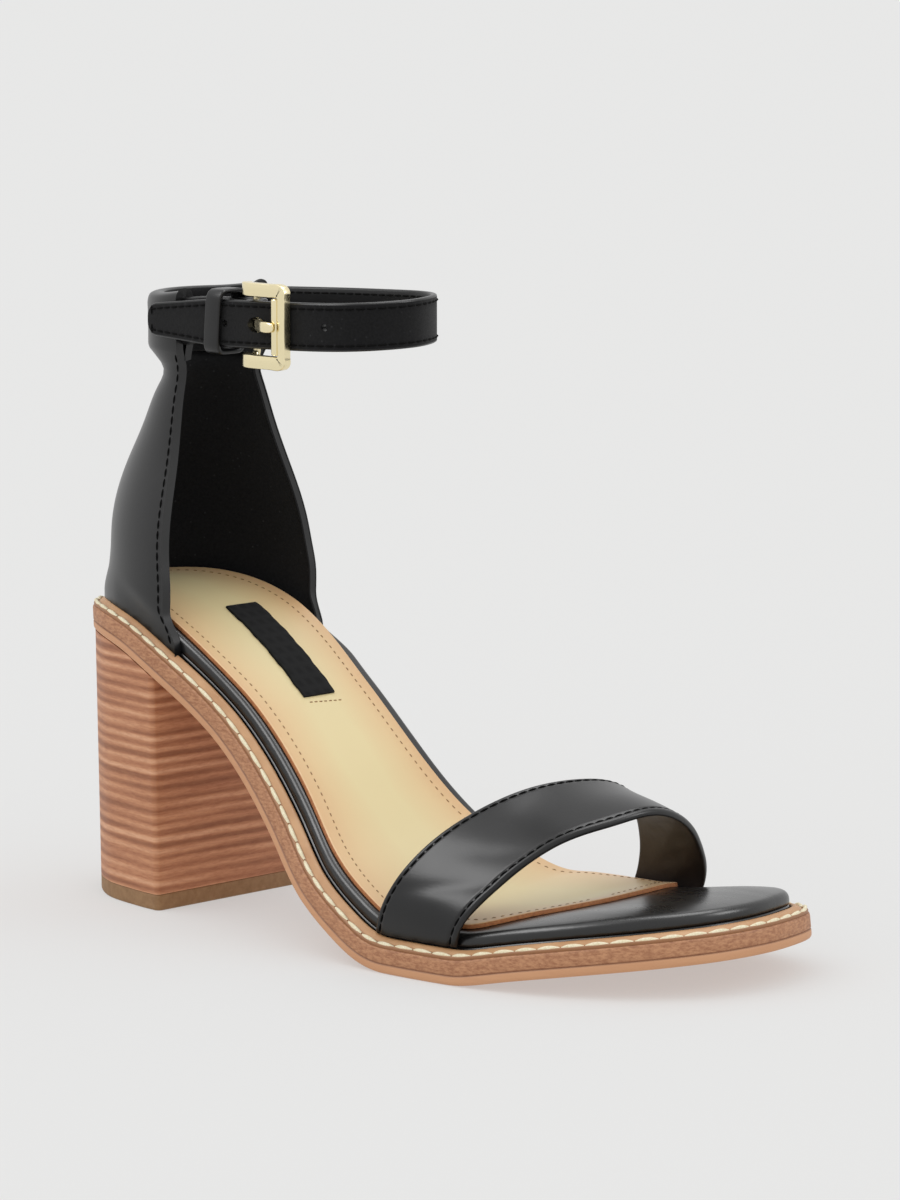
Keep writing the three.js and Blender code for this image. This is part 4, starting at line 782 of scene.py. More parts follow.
# Moulded rubber top piece: matt olive brown with scuffs.
TIP = finished("olive_moulded_rubber", grained(
    2.2, 5.0, "#86633f", "#9c7852", 0.7, 0.06, coarseness=0.65))
INSOLE = finished("pearl_gold_insole_painted_sheen", insole_leather)
# Cut edge of the insole leather: orange-brown raw fibre.
CUT_EDGE = finished("raw_leather_cut_edge", grained(0.8, 4.0, "#9c5f35", "#bd7a47", 0.75, 0.08))
# Thread sunk into the insole, almost lost in its holes: its brown is partly the thread's colour
# and partly painted shade of the holes.
SUNK_THREAD_HOLE_SHADE = finished("sunk_thread_painted_hole_shade", grained(0.4, 2.0, "#7d5732", "#a37a4a", 0.7, 0))
PATCH = finished("black_woven_patch", woven_patch)
GOLD = finished("pale_gold_plate", pale_gold)


def keep(piece, slot, *nodes):
    """The piece rides on the shoe and stands for those solids. slot is not used."""
    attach(piece, "root")
    if nodes:
        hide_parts(*nodes)
    return piece


# Stitches and holes

def stitch_tree(name, material):
    """Geometry nodes: arched threads, one after another, along a line with an "up" direction."""
    tree = bpy.data.node_groups.new(name, "GeometryNodeTree")
    tree.interface.new_socket("Line", in_out="INPUT", socket_type="NodeSocketGeometry")
    for label in ("Pitch", "Stitch length", "Thread thickness", "Arch height", "Sunk depth"):
        tree.interface.new_socket(label, in_out="INPUT", socket_type="NodeSocketFloat")
    tree.interface.new_socket("Stitches", in_out="OUTPUT", socket_type="NodeSocketGeometry")
    given = add(tree, "NodeGroupInput").outputs
    line = add(tree, "GeometryNodeMeshToCurve", {"Mesh": given["Line"]})
    spaced = add(tree, "GeometryNodeResampleCurve", {"Curve": line, "Length": given["Pitch"]},
                 mode="LENGTH")
    along = add(tree, "GeometryNodeInputTangent")
    up = add(tree, "GeometryNodeInputNamedAttribute", {"Name": "up"},
             data_type="FLOAT_VECTOR").outputs["Attribute"]
    turn = add(tree, "FunctionNodeAlignRotationToVector", {"Vector": along}, axis="X")
    turn = add(tree, "FunctionNodeAlignRotationToVector", {"Rotation": turn, "Vector": up},
               axis="Z", pivot_axis="X")
    # Each thread is a bow from one hole to the next, thinner towards both.
    half, back, sunk, top, radius = (
        add(tree, "ShaderNodeMath", {0: given[label], 1: factor}, operation="MULTIPLY")
        for label, factor in (("Stitch length", 0.5), ("Stitch length", -0.5),
                              ("Sunk depth", -1.0), ("Arch height", 2.0),
                              ("Thread thickness", 0.5)))
    start = add(tree, "ShaderNodeCombineXYZ", {"X": back, "Z": sunk})
    crest = add(tree, "ShaderNodeCombineXYZ", {"Z": top})
    end = add(tree, "ShaderNodeCombineXYZ", {"X": half, "Z": sunk})
    bow = add(tree, "GeometryNodeCurveQuadraticBezier", {
        "Resolution": 6, "Start": start, "Middle": crest, "End": end})
    narrowed = add(tree, "GeometryNodeSplineParameter").outputs["Factor"]
    for operation, number in (("SUBTRACT", 0.5), ("MULTIPLY", 2.0), ("ABSOLUTE", 0.0),
                              ("POWER", 3.0), ("MULTIPLY", 0.5)):
        narrowed = add(tree, "ShaderNodeMath", {0: narrowed, 1: number}, operation=operation)
    taper = add(tree, "ShaderNodeMath", {0: 1.0, 1: narrowed}, operation="SUBTRACT")
    bow = add(tree, "GeometryNodeSetCurveRadius", {"Curve": bow, "Radius": taper})
    circle = add(tree, "GeometryNodeCurvePrimitiveCircle", {"Resolution": 6, "Radius": radius})
    thread = add(tree, "GeometryNodeCurveToMesh", {
        "Curve": bow, "Profile Curve": circle, "Fill Caps": True})
    placed = add(tree, "GeometryNodeInstanceOnPoints", {
        "Points": spaced, "Instance": thread, "Rotation": turn})
    real = add(tree, "GeometryNodeRealizeInstances", {"Geometry": placed})
    smooth = add(tree, "GeometryNodeSetShadeSmooth", {"Geometry": real})
    painted = add(tree, "GeometryNodeSetMaterial", {"Geometry": smooth, "Material": material})
    add(tree, "NodeGroupOutput", {"Stitches": painted})
    return tree


def apply_modifiers(piece):
    """Puts the piece's modifiers into its mesh and takes them off."""
    graph = bpy.context.evaluated_depsgraph_get()
    plain = bpy.data.meshes.new_from_object(piece.evaluated_get(graph), depsgraph=graph)
    piece.modifiers.clear()
    piece.data = plain


def run_nodes(name, tree, lines, sizes_mm):
    """Runs a tree on lines of (points, ups, closed) in millimetres and keeps a plain mesh."""
    spots, ups, edges = [], [], []
    for points, up, closed in lines:
        base, n = len(spots), len(points)
        spots += to_frame(points).tolist()
        ups += (np.asarray(up) / np.linalg.norm(up, axis=1, keepdims=True)).tolist()
        edges += [(base + i, base + i + 1) for i in range(n - 1)]
        if closed:
            edges.append((base + n - 1, base))
    mesh = bpy.data.meshes.new(name)
    mesh.from_pydata(spots, edges, [])
    layer = mesh.attributes.new("up", "FLOAT_VECTOR", "POINT")
    layer.data.foreach_set("vector", np.asarray(ups, np.float32).ravel())
    piece = bpy.data.objects.new(name, mesh)
    bpy.context.collection.objects.link(piece)
    modifier = piece.modifiers.new("stitches", "NODES")
    modifier.node_group = tree
    for item in tree.interface.items_tree:
        if item.in_out == "INPUT" and item.name in sizes_mm:
            modifier[item.identifier] = sizes_mm[item.name] * MM
    apply_modifiers(piece)
    return piece


CREAM_STITCHES = stitch_tree("cream_stitches", CREAM_THREAD)
BLACK_STITCHES = stitch_tree("black_stitches", BLACK_THREAD)
# The insole's sunk stitches: their brown is partly thread and partly painted shade of their holes.
SUNK_STITCHES_HOLE_SHADE = stitch_tree("sunk_stitches_painted_hole_shade", SUNK_THREAD_HOLE_SHADE)
UPPER_SIZES = {
    "Pitch": UPPER_STITCH + UPPER_STITCH_GAP,
    "Stitch length": UPPER_STITCH,
    "Thread thickness": 0.5,
    "Arch height": 0.16,
    "Sunk depth": 0.16,
}
SUNK_SIZES = {"Thread thickness": 0.36, "Arch height": 0.06, "Sunk depth": 0.08}


# Sole

def outsole():
    rows = [(EDGE_ROUND * (1 - math.sin(a)), EDGE_RISE * (1 - math.cos(a)))
            for a in np.radians(np.arange(0, 91, 15))]
    rows = [(5.0, 0.0), (1.6, 0.0)] + rows
    rows += [(0.0, 1.7), (0.0, GROOVE_HEIGHT - 0.3), (0.1, GROOVE_HEIGHT - 0.16),
             (GROOVE_DEPTH, GROOVE_HEIGHT), (0.1, GROOVE_HEIGHT + 0.16),
             (0.0, GROOVE_HEIGHT + 0.3), (0.0, 4.4), (0.0, 5.5), (0.06, 5.9),
             (0.2, 6.1), (0.45, SOLE_THICKNESS), (3.0, SOLE_THICKNESS)]
    rings, heights = [], []
    for margin, height in rows:
        ring = inset(sole_ring, margin)
        rings.append(lift(ring[:, 0], ring[:, 1], height))
        heights.append(np.full(len(ring), height))
    piece = loft("outsole_dressed", rings, "strip", [SOLE_EDGE],
                 values={"side_height": heights}, sharp=50)
    return keep(piece, "sole", "outsole")


WELT_BASE = SOLE_THICKNESS + GAP
RIDGE_TOP = SOLE_THICKNESS + WELT_RIDGE
RIDGE_SEAT = RIDGE_TOP + GAP

# The welt is trimmed close along the big toe side of the waist, where the upper stands out.
WAIST = sole_ring[:, 0] / SOLE_LENGTH
MEDIAL_SIDE = np.arange(len(sole_ring)) > SOLE_STATIONS
WELT_TRIM = ((WELT_WIDTH - WELT_WAIST_WIDTH) * MEDIAL_SIDE
             * smoothstep(WAIST, 0.21, 0.26) * (1 - smoothstep(WAIST, 0.42, 0.64)))


def inset_upper(margin):
    """The line that the upper follows, and lines further in beside it."""
    inner, outer = inset(sole_ring, margin), inset(sole_ring, margin - 1)
    return inner + (outer - inner) * WELT_TRIM[:, None]


WELT_ROWS = [
    (0.45, SOLE_THICKNESS + 0.02), (0.34, WELT_BASE + 0.05), (0.32, WELT_BASE + 0.3),
    (0.42, WELT_BASE + 0.5), (0.65, WELT_BASE + 0.6), (1.0, WELT_BASE + 0.5),
    (1.35, WELT_BASE + 0.42), (1.65, WELT_BASE + 0.5), (1.95, WELT_BASE + 0.72),
    (2.25, WELT_BASE + 0.98), (2.6, WELT_BASE + 1.24), (2.95, WELT_BASE + 1.46),
    (3.3, WELT_BASE + 1.6), (3.65, RIDGE_TOP), (3.95, RIDGE_TOP - 0.04),
    (4.2, RIDGE_TOP - 0.2), (WELT_WIDTH, RIDGE_TOP - 0.45), (WELT_WIDTH, SOLE_THICKNESS + 0.02),
]


def welt():
    rings, ridge = [], []
    for margin, height in WELT_ROWS:
        edge = inset(sole_ring, margin)
        share = min(1.0, margin / WELT_WIDTH)
        ring = edge + (inset_upper(margin) - edge) * share
        rings.append(lift(ring[:, 0], ring[:, 1], height))
        # ridge: how high the row stands; it sets the welt's painted shade.
        ridge.append(np.full(len(ring), (height - WELT_BASE - 0.4) / 0.9))
    piece = loft("welt_dressed", rings, "loop", [WELT], values={"ridge": ridge}, sharp=50)
    return keep(piece, "welt", "welt")


def welt_stitches():
    path = inset(sole_ring, 1.0)
    points = lift(path[:, 0], path[:, 1], WELT_BASE + 0.62)
    away = tangents(path, closed=True)
    outward = np.stack([away[:, 1], -away[:, 0], 0 * away[:, 0]], -1)
    ups = lift_normal(path[:, 0]) + 0.75 * outward
    piece = run_nodes("welt_stitches", CREAM_STITCHES, [(points, ups, True)], {
        "Pitch": WELT_STITCH + WELT_STITCH_GAP, "Stitch length": WELT_STITCH,
        "Thread thickness": 1.05, "Arch height": 0.46, "Sunk depth": 0.5})
    return keep(piece, "welt")


FOOTBED_MARGIN = WELT_WIDTH + 0.4
FOOTBED_TOP = SOLE_THICKNESS + FOOTBED_HEIGHT
footbed_edge = inset_upper(FOOTBED_MARGIN)


def crown(x, y):
    """Extra height of the footbed: crowned at the toes, banked at the ball, cupped at the heel."""
    along = x / SOLE_LENGTH
    rise = lambda t: 1 - (1 - np.clip(t, 0, 1)) ** 2
    near = np.maximum(0, y - side_y(footbed_edge, x, False))
    far = np.maximum(0, side_y(footbed_edge, x, True) - y)
    tip = rise((footbed_edge[:, 0].max() - x) / CROWN_TIP)
    sides = rise(near / CROWN_SIDE) * rise(far / CROWN_SIDE)
    top = FOOTBED_CROWN * smoothstep(along, 0.56, 0.74) * sides * tip
    ball = smoothstep(along, 0.54, 0.64) * (1 - smoothstep(along, 0.72, 0.84))
    across = near / np.maximum(near + far, GAP)
    bank = BALL_BANK * ball * smoothstep(across, 0.45, 1)
    back = (x - footbed_edge[0, 0]) / SEAT_CUP_WIDTH
    hollow = rise(near / SEAT_CUP_WIDTH) * rise(far / SEAT_CUP_WIDTH) * rise(back)
    cup = SEAT_CUP * (1 - smoothstep(along, 0.16, 0.28)) * (1 - hollow)
    return top + bank + cup


def on_crown(ring, height):
    return lift(ring[:, 0], ring[:, 1], height + crown(ring[:, 0], ring[:, 1]))


def drawn_in(ring, share):
    n = len(ring)
    middle_x = (ring[0, 0] + ring[n // 2, 0]) / 2
    partner = ring[(n - np.arange(n)) % n]
    middle_y = (ring[:, 1] + partner[:, 1]) / 2
    return np.stack([middle_x + (ring[:, 0] - middle_x) * (1 - 0.14 * share),
                     ring[:, 1] + (middle_y - ring[:, 1]) * share], -1)


FOOTBED_ROWS = [
    (4.95, SOLE_THICKNESS + 0.1), (4.74, WELT_BASE + 0.4), (4.7, WELT_BASE + 1.6),
    (4.72, RIDGE_TOP - 0.25), (4.8, RIDGE_TOP), (4.98, RIDGE_TOP + 0.22),
    (4.86, RIDGE_TOP + 0.42), (4.7, RIDGE_TOP + 0.7), (4.6, RIDGE_TOP + 1.1),
    (4.58, RIDGE_TOP + 1.6), (4.62, RIDGE_TOP + 2.15), (4.74, RIDGE_TOP + 2.65),
    (4.98, RIDGE_TOP + 3.05), (5.3, RIDGE_TOP + 3.35), (5.68, RIDGE_TOP + 3.53),
    (6.1, FOOTBED_TOP),
]


def footbed():
    rings = []
    for margin, height in FOOTBED_ROWS:
        ring = inset_upper(margin)
        share = float(np.clip((height - WELT_BASE - 0.4) / (FOOTBED_HEIGHT - 2.0), 0, 1))
        extra = crown(ring[:, 0], ring[:, 1]) * share
        rings.append(lift(ring[:, 0], ring[:, 1], height + extra))
    top = inset_upper(FOOTBED_ROWS[-1][0])
    for share in (0.06, 0.14, 0.25, 0.38, 0.52, 0.66, 0.8, 0.92):
        rings.append(on_crown(drawn_in(top, share), FOOTBED_TOP))
    piece = loft("footbed_dressed", rings, "strip", [RAND], sharp=60)
    return keep(piece, "leather", "footbed")


SOCK_BASE = FOOTBED_TOP + GAP
SOCK_TOP = SOCK_BASE + SOCK_THICKNESS


def sock_outline():
    """Edge of the sock, which reaches nearer the sole's edge on the big toe side of the ball."""
    coarse = plan_outline(outline_points, COARSE_STATIONS)
    edge, ball_edge = inset(coarse, SOCK_MARGIN), inset(coarse, SOCK_FAR_MARGIN)
    share = smoothstep(edge[:, 0] / SOLE_LENGTH, 0.44, 0.6)[:, None]
    far_edge = edge + (ball_edge - edge) * share
    limit = SOCK_FRONT[0][0] * SOLE_LENGTH - SOCK_CORNER
    points = [tuple(edge[i]) for i in range(0, COARSE_STATIONS + 1, 2)
              if edge[i, 0] < limit]
    points += [(x * SOLE_LENGTH, y * BALL_WIDTH) for x, y in SOCK_FRONT]
    points += [tuple(far_edge[i]) for i in range(COARSE_STATIONS, len(coarse) - 1, 2)
               if far_edge[i, 0] < limit]
    return plan_outline(points, SOCK_STATIONS)


sock_ring = sock_outline()


def sock():
    rows = [(0.35, FOOTBED_TOP + 0.04), (0.05, FOOTBED_TOP + 0.08), (0.0, FOOTBED_TOP + 0.3),
            (0.0, SOCK_TOP - 0.32), (0.07, SOCK_TOP - 0.14), (0.25, SOCK_TOP - 0.02),
            (0.5, SOCK_TOP)]
    shares = (0.03, 0.08, 0.14, 0.22, 0.32, 0.44, 0.56, 0.68, 0.8, 0.92)
    rings = [on_crown(drawn_in(sock_ring, share), FOOTBED_TOP + 0.04) for share in shares[::-1]]
    rings += [on_crown(inset(sock_ring, margin), height) for margin, height in rows]
    top = inset(sock_ring, rows[-1][0])
    rings += [on_crown(drawn_in(top, share), SOCK_TOP) for share in shares]
    # inward: share of the way in from the edge, which sets the insole's painted sheen.
    inward = [0.0] * (len(shares) + len(rows)) + list(shares)
    values = {"inward": np.repeat(inward, len(sock_ring))}
    cut = len(shares) + 4
    piece = loft("sock_dressed", rings, "strip", [CUT_EDGE, INSOLE],
                 row_slots=lambda r, i: 1 if r >= cut else 0, cap_slots=(0, 1), values=values,
                 sharp=50)
    return keep(piece, "sock", "sock")


def sock_stitches():
    path = inset(sock_ring, SOCK_STITCH_MARGIN)
    keep_x = path[:, 0] < SOCK_FRONT[0][0] * SOLE_LENGTH + 12
    order = np.roll(np.arange(len(path)), -(SOCK_STATIONS + 20))
    order = order[keep_x[order]]
    chain = path[order]
    jump = np.linalg.norm(np.diff(chain, axis=0), axis=1).argmax()
    chain = np.roll(chain, -(jump + 1), axis=0)
    points = lift(chain[:, 0], chain[:, 1], SOCK_TOP + crown(chain[:, 0], chain[:, 1]) - 0.02)
    ups = lift_normal(chain[:, 0])
    piece = run_nodes("sock_stitches", SUNK_STITCHES_HOLE_SHADE, [(points, ups, False)], {
        "Pitch": SOCK_HOLE_PITCH, "Stitch length": 0.95, **SUNK_SIZES})
    return keep(piece, "sock")


def label_side(t, side, height):
    x = LABEL_START + LABEL_LENGTH * t
    middle_y = LABEL_MIDDLE_Y + LABEL_TURN * (0.5 - t)
    wave = 1 - 0.045 * (1 + np.cos(t * np.pi * 8)) / 2 - 0.012 * np.cos(t * 61.0)
    return lift(x, middle_y + side * LABEL_WIDTH / 2 * wave, height)


def label():
    base, top = SOCK_TOP + 0.02, SOCK_TOP + GAP + LABEL_THICKNESS - 0.15
    section = [(-1.0, base), (-1.0, top - 0.12), (-0.975, top - 0.03), (-0.94, top), (-0.5, top),
               (0.0, top), (0.5, top), (0.94, top), (0.975, top - 0.03), (1.0, top - 0.12),
               (1.0, base)]
    rings = []
    for t in np.linspace(0, 1, 70):
        droop = 0.12 * (smoothstep(0.02 - t, 0, 0.02) + smoothstep(t - 0.98, 0, 0.02))
        rings.append([label_side(t, side, max(base, height - droop)) for side, height in section])
    piece = loft("label_dressed", rings, "fan", [PATCH], sharp=50)
    return keep(piece, "label", "sock_label")


def label_stitches():
    ts = 1.045 + 0.02 * np.linspace(0, 1, 8)
    sides = np.linspace(-0.75, 1.02, 8)
    points = np.array([label_side(t, side, SOCK_TOP) for t, side in zip(ts, sides)])
    ups = lift_normal(points[:, 0])
    piece = run_nodes("label_stitches", SUNK_STITCHES_HOLE_SHADE, [(points, ups, False)], {
        "Pitch": 1.5, "Stitch length": 0.85, **SUNK_SIZES})
    return keep(piece, "sock")


# Heel

heel_top = inset(sole_ring, HEEL_TOP_INSET)
heel_lateral_side = heel_top[:SOLE_STATIONS]
heel_medial_side = np.vstack([heel_top[:1], heel_top[SOLE_STATIONS + 1:][::-1]])
BREAST_LATERAL = float(np.interp(HEEL_BREAST, heel_lateral_side[:, 0], heel_lateral_side[:, 1]))
BREAST_MEDIAL = float(np.interp(HEEL_BREAST, heel_medial_side[:, 0], heel_medial_side[:, 1]))
HEEL_MIDDLE = (BREAST_LATERAL + BREAST_MEDIAL) / 2
LENGTH_TAPER = HEEL_BASE_LENGTH / (HEEL_BREAST - heel_top[0, 0])
WIDTH_TAPER = HEEL_BASE_WIDTH / (BREAST_MEDIAL - BREAST_LATERAL)


def heel_plan():
    def corner(y, sign):
        angles = np.radians(np.linspace(0, 90, 7))
        return [(HEEL_BREAST - HEEL_CORNER + HEEL_CORNER * math.sin(a),
                 y + sign * HEEL_CORNER * (1 - math.cos(a))) for a in angles]
    edge = HEEL_BREAST - HEEL_CORNER - 0.2
    lateral = [tuple(p) for p in heel_lateral_side if p[0] < edge]
    medial = [tuple(p) for p in heel_medial_side[1:] if p[0] < edge][::-1]
    front_near, front_far = corner(BREAST_LATERAL, 1), corner(BREAST_MEDIAL, -1)[::-1]
    ys = np.linspace(front_near[-1][1], front_far[0][1], 26)[1:-1]
    front = [(HEEL_BREAST, y) for y in ys]
    return np.array(lateral + front_near + front + front_far + medial)


HEEL_PLAN = heel_plan()


def heel_ring(heights, full):
    up = np.minimum(1, heights / full)
    along = LENGTH_TAPER + (1 - LENGTH_TAPER) * up
    across = WIDTH_TAPER + (1 - WIDTH_TAPER) * up
    return np.stack([HEEL_BREAST - (HEEL_BREAST - HEEL_PLAN[:, 0]) * along,
                     HEEL_MIDDLE + (HEEL_PLAN[:, 1] - HEEL_MIDDLE) * across, heights], -1)


def heel_block():
    z, slope = underside(HEEL_PLAN[:, 0])
    ceiling = z - 0.02 * np.hypot(1, slope)
    bottom = HEEL_TIP_THICKNESS + 0.05
    rings = []
    for share in np.linspace(0, 1, 26):
        rings.append(heel_ring(bottom + (ceiling - bottom) * share, ceiling))
    piece = loft("heel_block_dressed", rings, "fan", [HEEL], sharp=35)
    return keep(piece, "heel", "heel_block")


def heel_tip():
    heights = [0.0, 0.15, 0.5, 1.0, 2.2, 3.4, 3.9, 4.1, HEEL_TIP_THICKNESS]
    draw = [0.5, 0.2, 0.04, 0.0, 0.0, 0.0, 0.02, 0.1, 0.3]
    rings = []
    for height, amount in zip(heights, draw):
        ring = heel_ring(np.full(len(HEEL_PLAN), height), HEEL_RISE)
        middle_point = ring.mean(axis=0)
        ring[:, :2] += (middle_point[:2] - ring[:, :2]) * amount / TIP_REACH
        rings.append(ring)
    piece = loft("heel_tip_dressed", rings, "fan", [TIP], sharp=45)
    return keep(piece, "heel_tip", "heel_tip")


# Counter

counter_back = column(COUNTER_SHAPE, 1, COUNTER_LENGTH)
counter_front = column(COUNTER_SHAPE, 2, COUNTER_LENGTH)
counter_half = column(COUNTER_SHAPE, 3, COUNTER_WIDTH)
COUNTER_FOOT_Z = float(lift(0.0, 0.0, RIDGE_SEAT)[2])
TAB_FOOT_Z = COUNTER_FOOT_Z + COUNTER_HEIGHT
TAB_BACK_X = COUNTER_SHAPE[11][1] * COUNTER_LENGTH
TAB_MIDDLE_X = COUNTER_SHAPE[11][2] * COUNTER_LENGTH
SLEEVE = TAB_WALL + STRAP_THICKNESS + 2 * STRAP_GAP
ARC = np.pi * (np.arange(241) / 240 - 0.5)


def strap_middle_z(x, y, dips=1.0):
    """Height of the strap's middle line. It dips inside the tab, but its tail doesn't."""
    level = smoothstep(x, TAB_BACK_X + STRAP_DIP_START, TAB_MIDDLE_X + STRAP_DIP_END)
    rise = STRAP_RISE_PER_X * (x - BUCKLE_BAR_X) + STRAP_RISE_PER_Y * y
    return STRAP_TOP + rise - STRAP_WIDTH / 2 - STRAP_DIP * (1 - level) * dips


TAB_TOP_Z = float(strap_middle_z(TAB_BACK_X, 0.0)) + STRAP_WIDTH / 2 + TAB_RISE


def along_path(path, share, depth):
    """Point on a plan path, moved inwards by depth."""
    p = at_share(path, share)
    ahead = at_share(path, min(1, share + 0.01)) - at_share(path, max(0, share - 0.01))
    ahead /= np.linalg.norm(ahead)
    return np.array([p[0] + ahead[1] * depth, p[1] - ahead[0] * depth])


def counter_plan(z, share, depth):
    level = (z - COUNTER_FOOT_Z) / COUNTER_HEIGHT
    back, front, half = counter_back(level), counter_front(level), counter_half(level)
    middle_y = COUNTER_SHIFT_Y * (1 - smoothstep(level, 0, 0.7))
    path = np.stack([front - (front - back) * np.cos(ARC), middle_y + half * np.sin(ARC)], -1)
    return along_path(path, share, depth)


foot_outer = inset(sole_ring, COUNTER_FOOT_MARGIN)
foot_lateral = foot_outer[:SOLE_STATIONS]
foot_medial = np.vstack([foot_outer[:1], foot_outer[SOLE_STATIONS + 1:][::-1]])
COUNTER_FRONT_X = COUNTER_SHAPE[0][2] * COUNTER_LENGTH


def foot_path():
    lateral = foot_lateral[foot_lateral[:, 0] < COUNTER_FRONT_X]
    medial = foot_medial[1:][foot_medial[1:, 0] < COUNTER_FRONT_X]
    ends = [(COUNTER_FRONT_X, np.interp(COUNTER_FRONT_X, side[:, 0], side[:, 1]))
            for side in (foot_lateral, foot_medial)]
    return np.vstack([ends[:1], lateral[::-1], medial, ends[1:]])


FOOT_PATH = foot_path()

FLARE_TOP_Z = TAB_FOOT_Z + TAB_FLARE
SLEEVE_FOOT_Z = TAB_FOOT_Z + TAB_FLARE * 2
FOLD_OUT = [
    (TAB_FOOT_Z + TAB_FLARE * 0.54, 0), (FLARE_TOP_Z, 0), (SLEEVE_FOOT_Z, 0),
    (TAB_TOP_Z - TAB_WALL * 1.7, 0), (TAB_TOP_Z - TAB_WALL * 0.45, TAB_WALL * 0.45),
    (TAB_TOP_Z, TAB_WALL * 1.45), (TAB_TOP_Z, SLEEVE - TAB_WALL * 0.45),
    (TAB_TOP_Z - TAB_WALL * 0.45, SLEEVE + TAB_WALL * 0.55),
    (TAB_TOP_Z - TAB_WALL * 1.7, SLEEVE + TAB_WALL), (SLEEVE_FOOT_Z, SLEEVE + TAB_WALL),
    (FLARE_TOP_Z, SLEEVE + TAB_WALL), (TAB_FOOT_Z + TAB_FLARE * 0.29, SLEEVE - TAB_WALL * 0.15),
]
FOLD_IN = [
    (TAB_FOOT_Z + TAB_FLARE * 0.25, SLEEVE - TAB_WALL * 1.08),
    (TAB_FOOT_Z + TAB_FLARE * 0.97, SLEEVE), (SLEEVE_FOOT_Z, SLEEVE),
    (TAB_TOP_Z - TAB_WALL * 1.85, SLEEVE), (TAB_TOP_Z - TAB_WALL, SLEEVE - TAB_WALL * 0.45),
    (TAB_TOP_Z - TAB_WALL, TAB_WALL * 1.45), (TAB_TOP_Z - TAB_WALL * 1.85, TAB_WALL),
    (SLEEVE_FOOT_Z, TAB_WALL), (TAB_FOOT_Z + TAB_FLARE * 1.08, TAB_WALL),
    (TAB_FOOT_Z + TAB_FLARE * 0.6, TAB_WALL),
]


def counter_section():
    """Rows of the section: kind, height (a share of the wall, or z), depth; their counts."""
    rises = np.concatenate([np.linspace(0, 0.2, 13)[:-1], np.linspace(0.2, 1, 33)])
    rows = [("wall", rise, 0.0) for rise in rises]
    out = catmull(np.array(FOLD_OUT), False, 4)
    inside = catmull(np.array(FOLD_IN), False, 4)
    rows += [("fold", z, depth) for z, depth in out]
    rows += [("fold", z, depth) for z, depth in inside]
    rows += [("wall", rise, 1.0) for rise in rises[::-1]]
    return rows, len(rises), len(out), len(inside)


def counter():
    rows, walls, outs, ins = counter_section()
    even = np.linspace(0, 1, COUNTER_STATIONS + 1)
    ends = np.array([0, 0.0006, 0.0018, 0.0036, 0.006])
    shares = np.unique(np.concatenate([ends, 1 - ends, even[2:-2]]))
    rings = []
    for share in shares:
        foot = along_path(FOOT_PATH, share, 0)
        foot_lift = lift(foot[0], foot[1], RIDGE_SEAT)
        foot_z, tilt_x = foot_lift[2] - 0.28, foot_lift[0] - foot[0]
        ring = []
        for kind, level, depth in rows:
            if kind == "wall":
                z = foot_z + (TAB_FOOT_Z - foot_z) * level
                thick = FOOT_WALL + (COUNTER_WALL - FOOT_WALL) * smoothstep(level, 0.06, 0.16)
                blend = 1 - smoothstep(level, 0.03, 0.15)
                upper = counter_plan(z, share, depth * thick)
                lower = along_path(FOOT_PATH, share, depth * thick)
                plan = upper * (1 - blend) + lower * blend
                ring.append((plan[0] + tilt_x * blend, plan[1], z))
            else:
                plan = counter_plan(level, share, depth)
                tilt = strap_middle_z(plan[0], plan[1]) - strap_middle_z(TAB_BACK_X, 0)
                tilt = tilt * smoothstep(level, FLARE_TOP_Z + 0.5, SLEEVE_FOOT_Z)
                ring.append((plan[0], plan[1], level + tilt))
        rings.append(ring)
    rings = np.array(rings)
    # The wall's front edges are rounded: the last rings are drawn in from all round.
    distance = np.minimum(shares, 1 - shares) * COUNTER_GIRTH
    for k, d in enumerate(distance):
        if d >= COUNTER_ROUND:
            continue
        draw = COUNTER_ROUND - math.sqrt(COUNTER_ROUND ** 2 - (COUNTER_ROUND - d) ** 2)
        ring = rings[k]
        ahead = np.roll(ring, -1, axis=0) - np.roll(ring, 1, axis=0)
        along = rings[min(k + 1, len(rings) - 1)] - rings[max(k - 1, 0)]
        if k == 0 or k == len(rings) - 1:
            along = rings[5] - rings[0] if k == 0 else rings[-1] - rings[-6]
        normal = np.cross(ahead, along)
        normal /= np.maximum(np.linalg.norm(normal, axis=1, keepdims=True), 1e-9)
        rings[k] = ring + normal * draw
    total, turned = len(rows), walls + outs

    def lined(_, i):
        return int(i >= turned + ins - 2 or turned - 18 <= i < turned)
    caps = [(i, i + 1, total - 2 - i, total - 1 - i) for i in range(walls - 1)]
    middle_out = list(range(walls - 1, turned))
    middle_in = list(range(turned, total - walls + 1))
    caps += strip_between(middle_out, middle_in[::-1], rings[0])
    piece = loft("counter_dressed", rings, caps, [LEATHER, SUEDE], row_slots=lined, sharp=50)
    return keep(piece, "leather", "counter")


def strip_between(first, second, points):
    """Triangles between two lists of points that run the same way."""
    faces, i, j = [], 0, 0
    while i < len(first) - 1 or j < len(second) - 1:
        step_first = j == len(second) - 1
        if i < len(first) - 1 and j < len(second) - 1:
            a = np.linalg.norm(points[first[i + 1]] - points[second[j]])
            b = np.linalg.norm(points[first[i]] - points[second[j + 1]])
            step_first = a < b
        if step_first:
            faces.append((first[i], first[i + 1], second[j]))
            i += 1
        else:
            faces.append((first[i], second[j + 1], second[j]))
            j += 1
    return faces


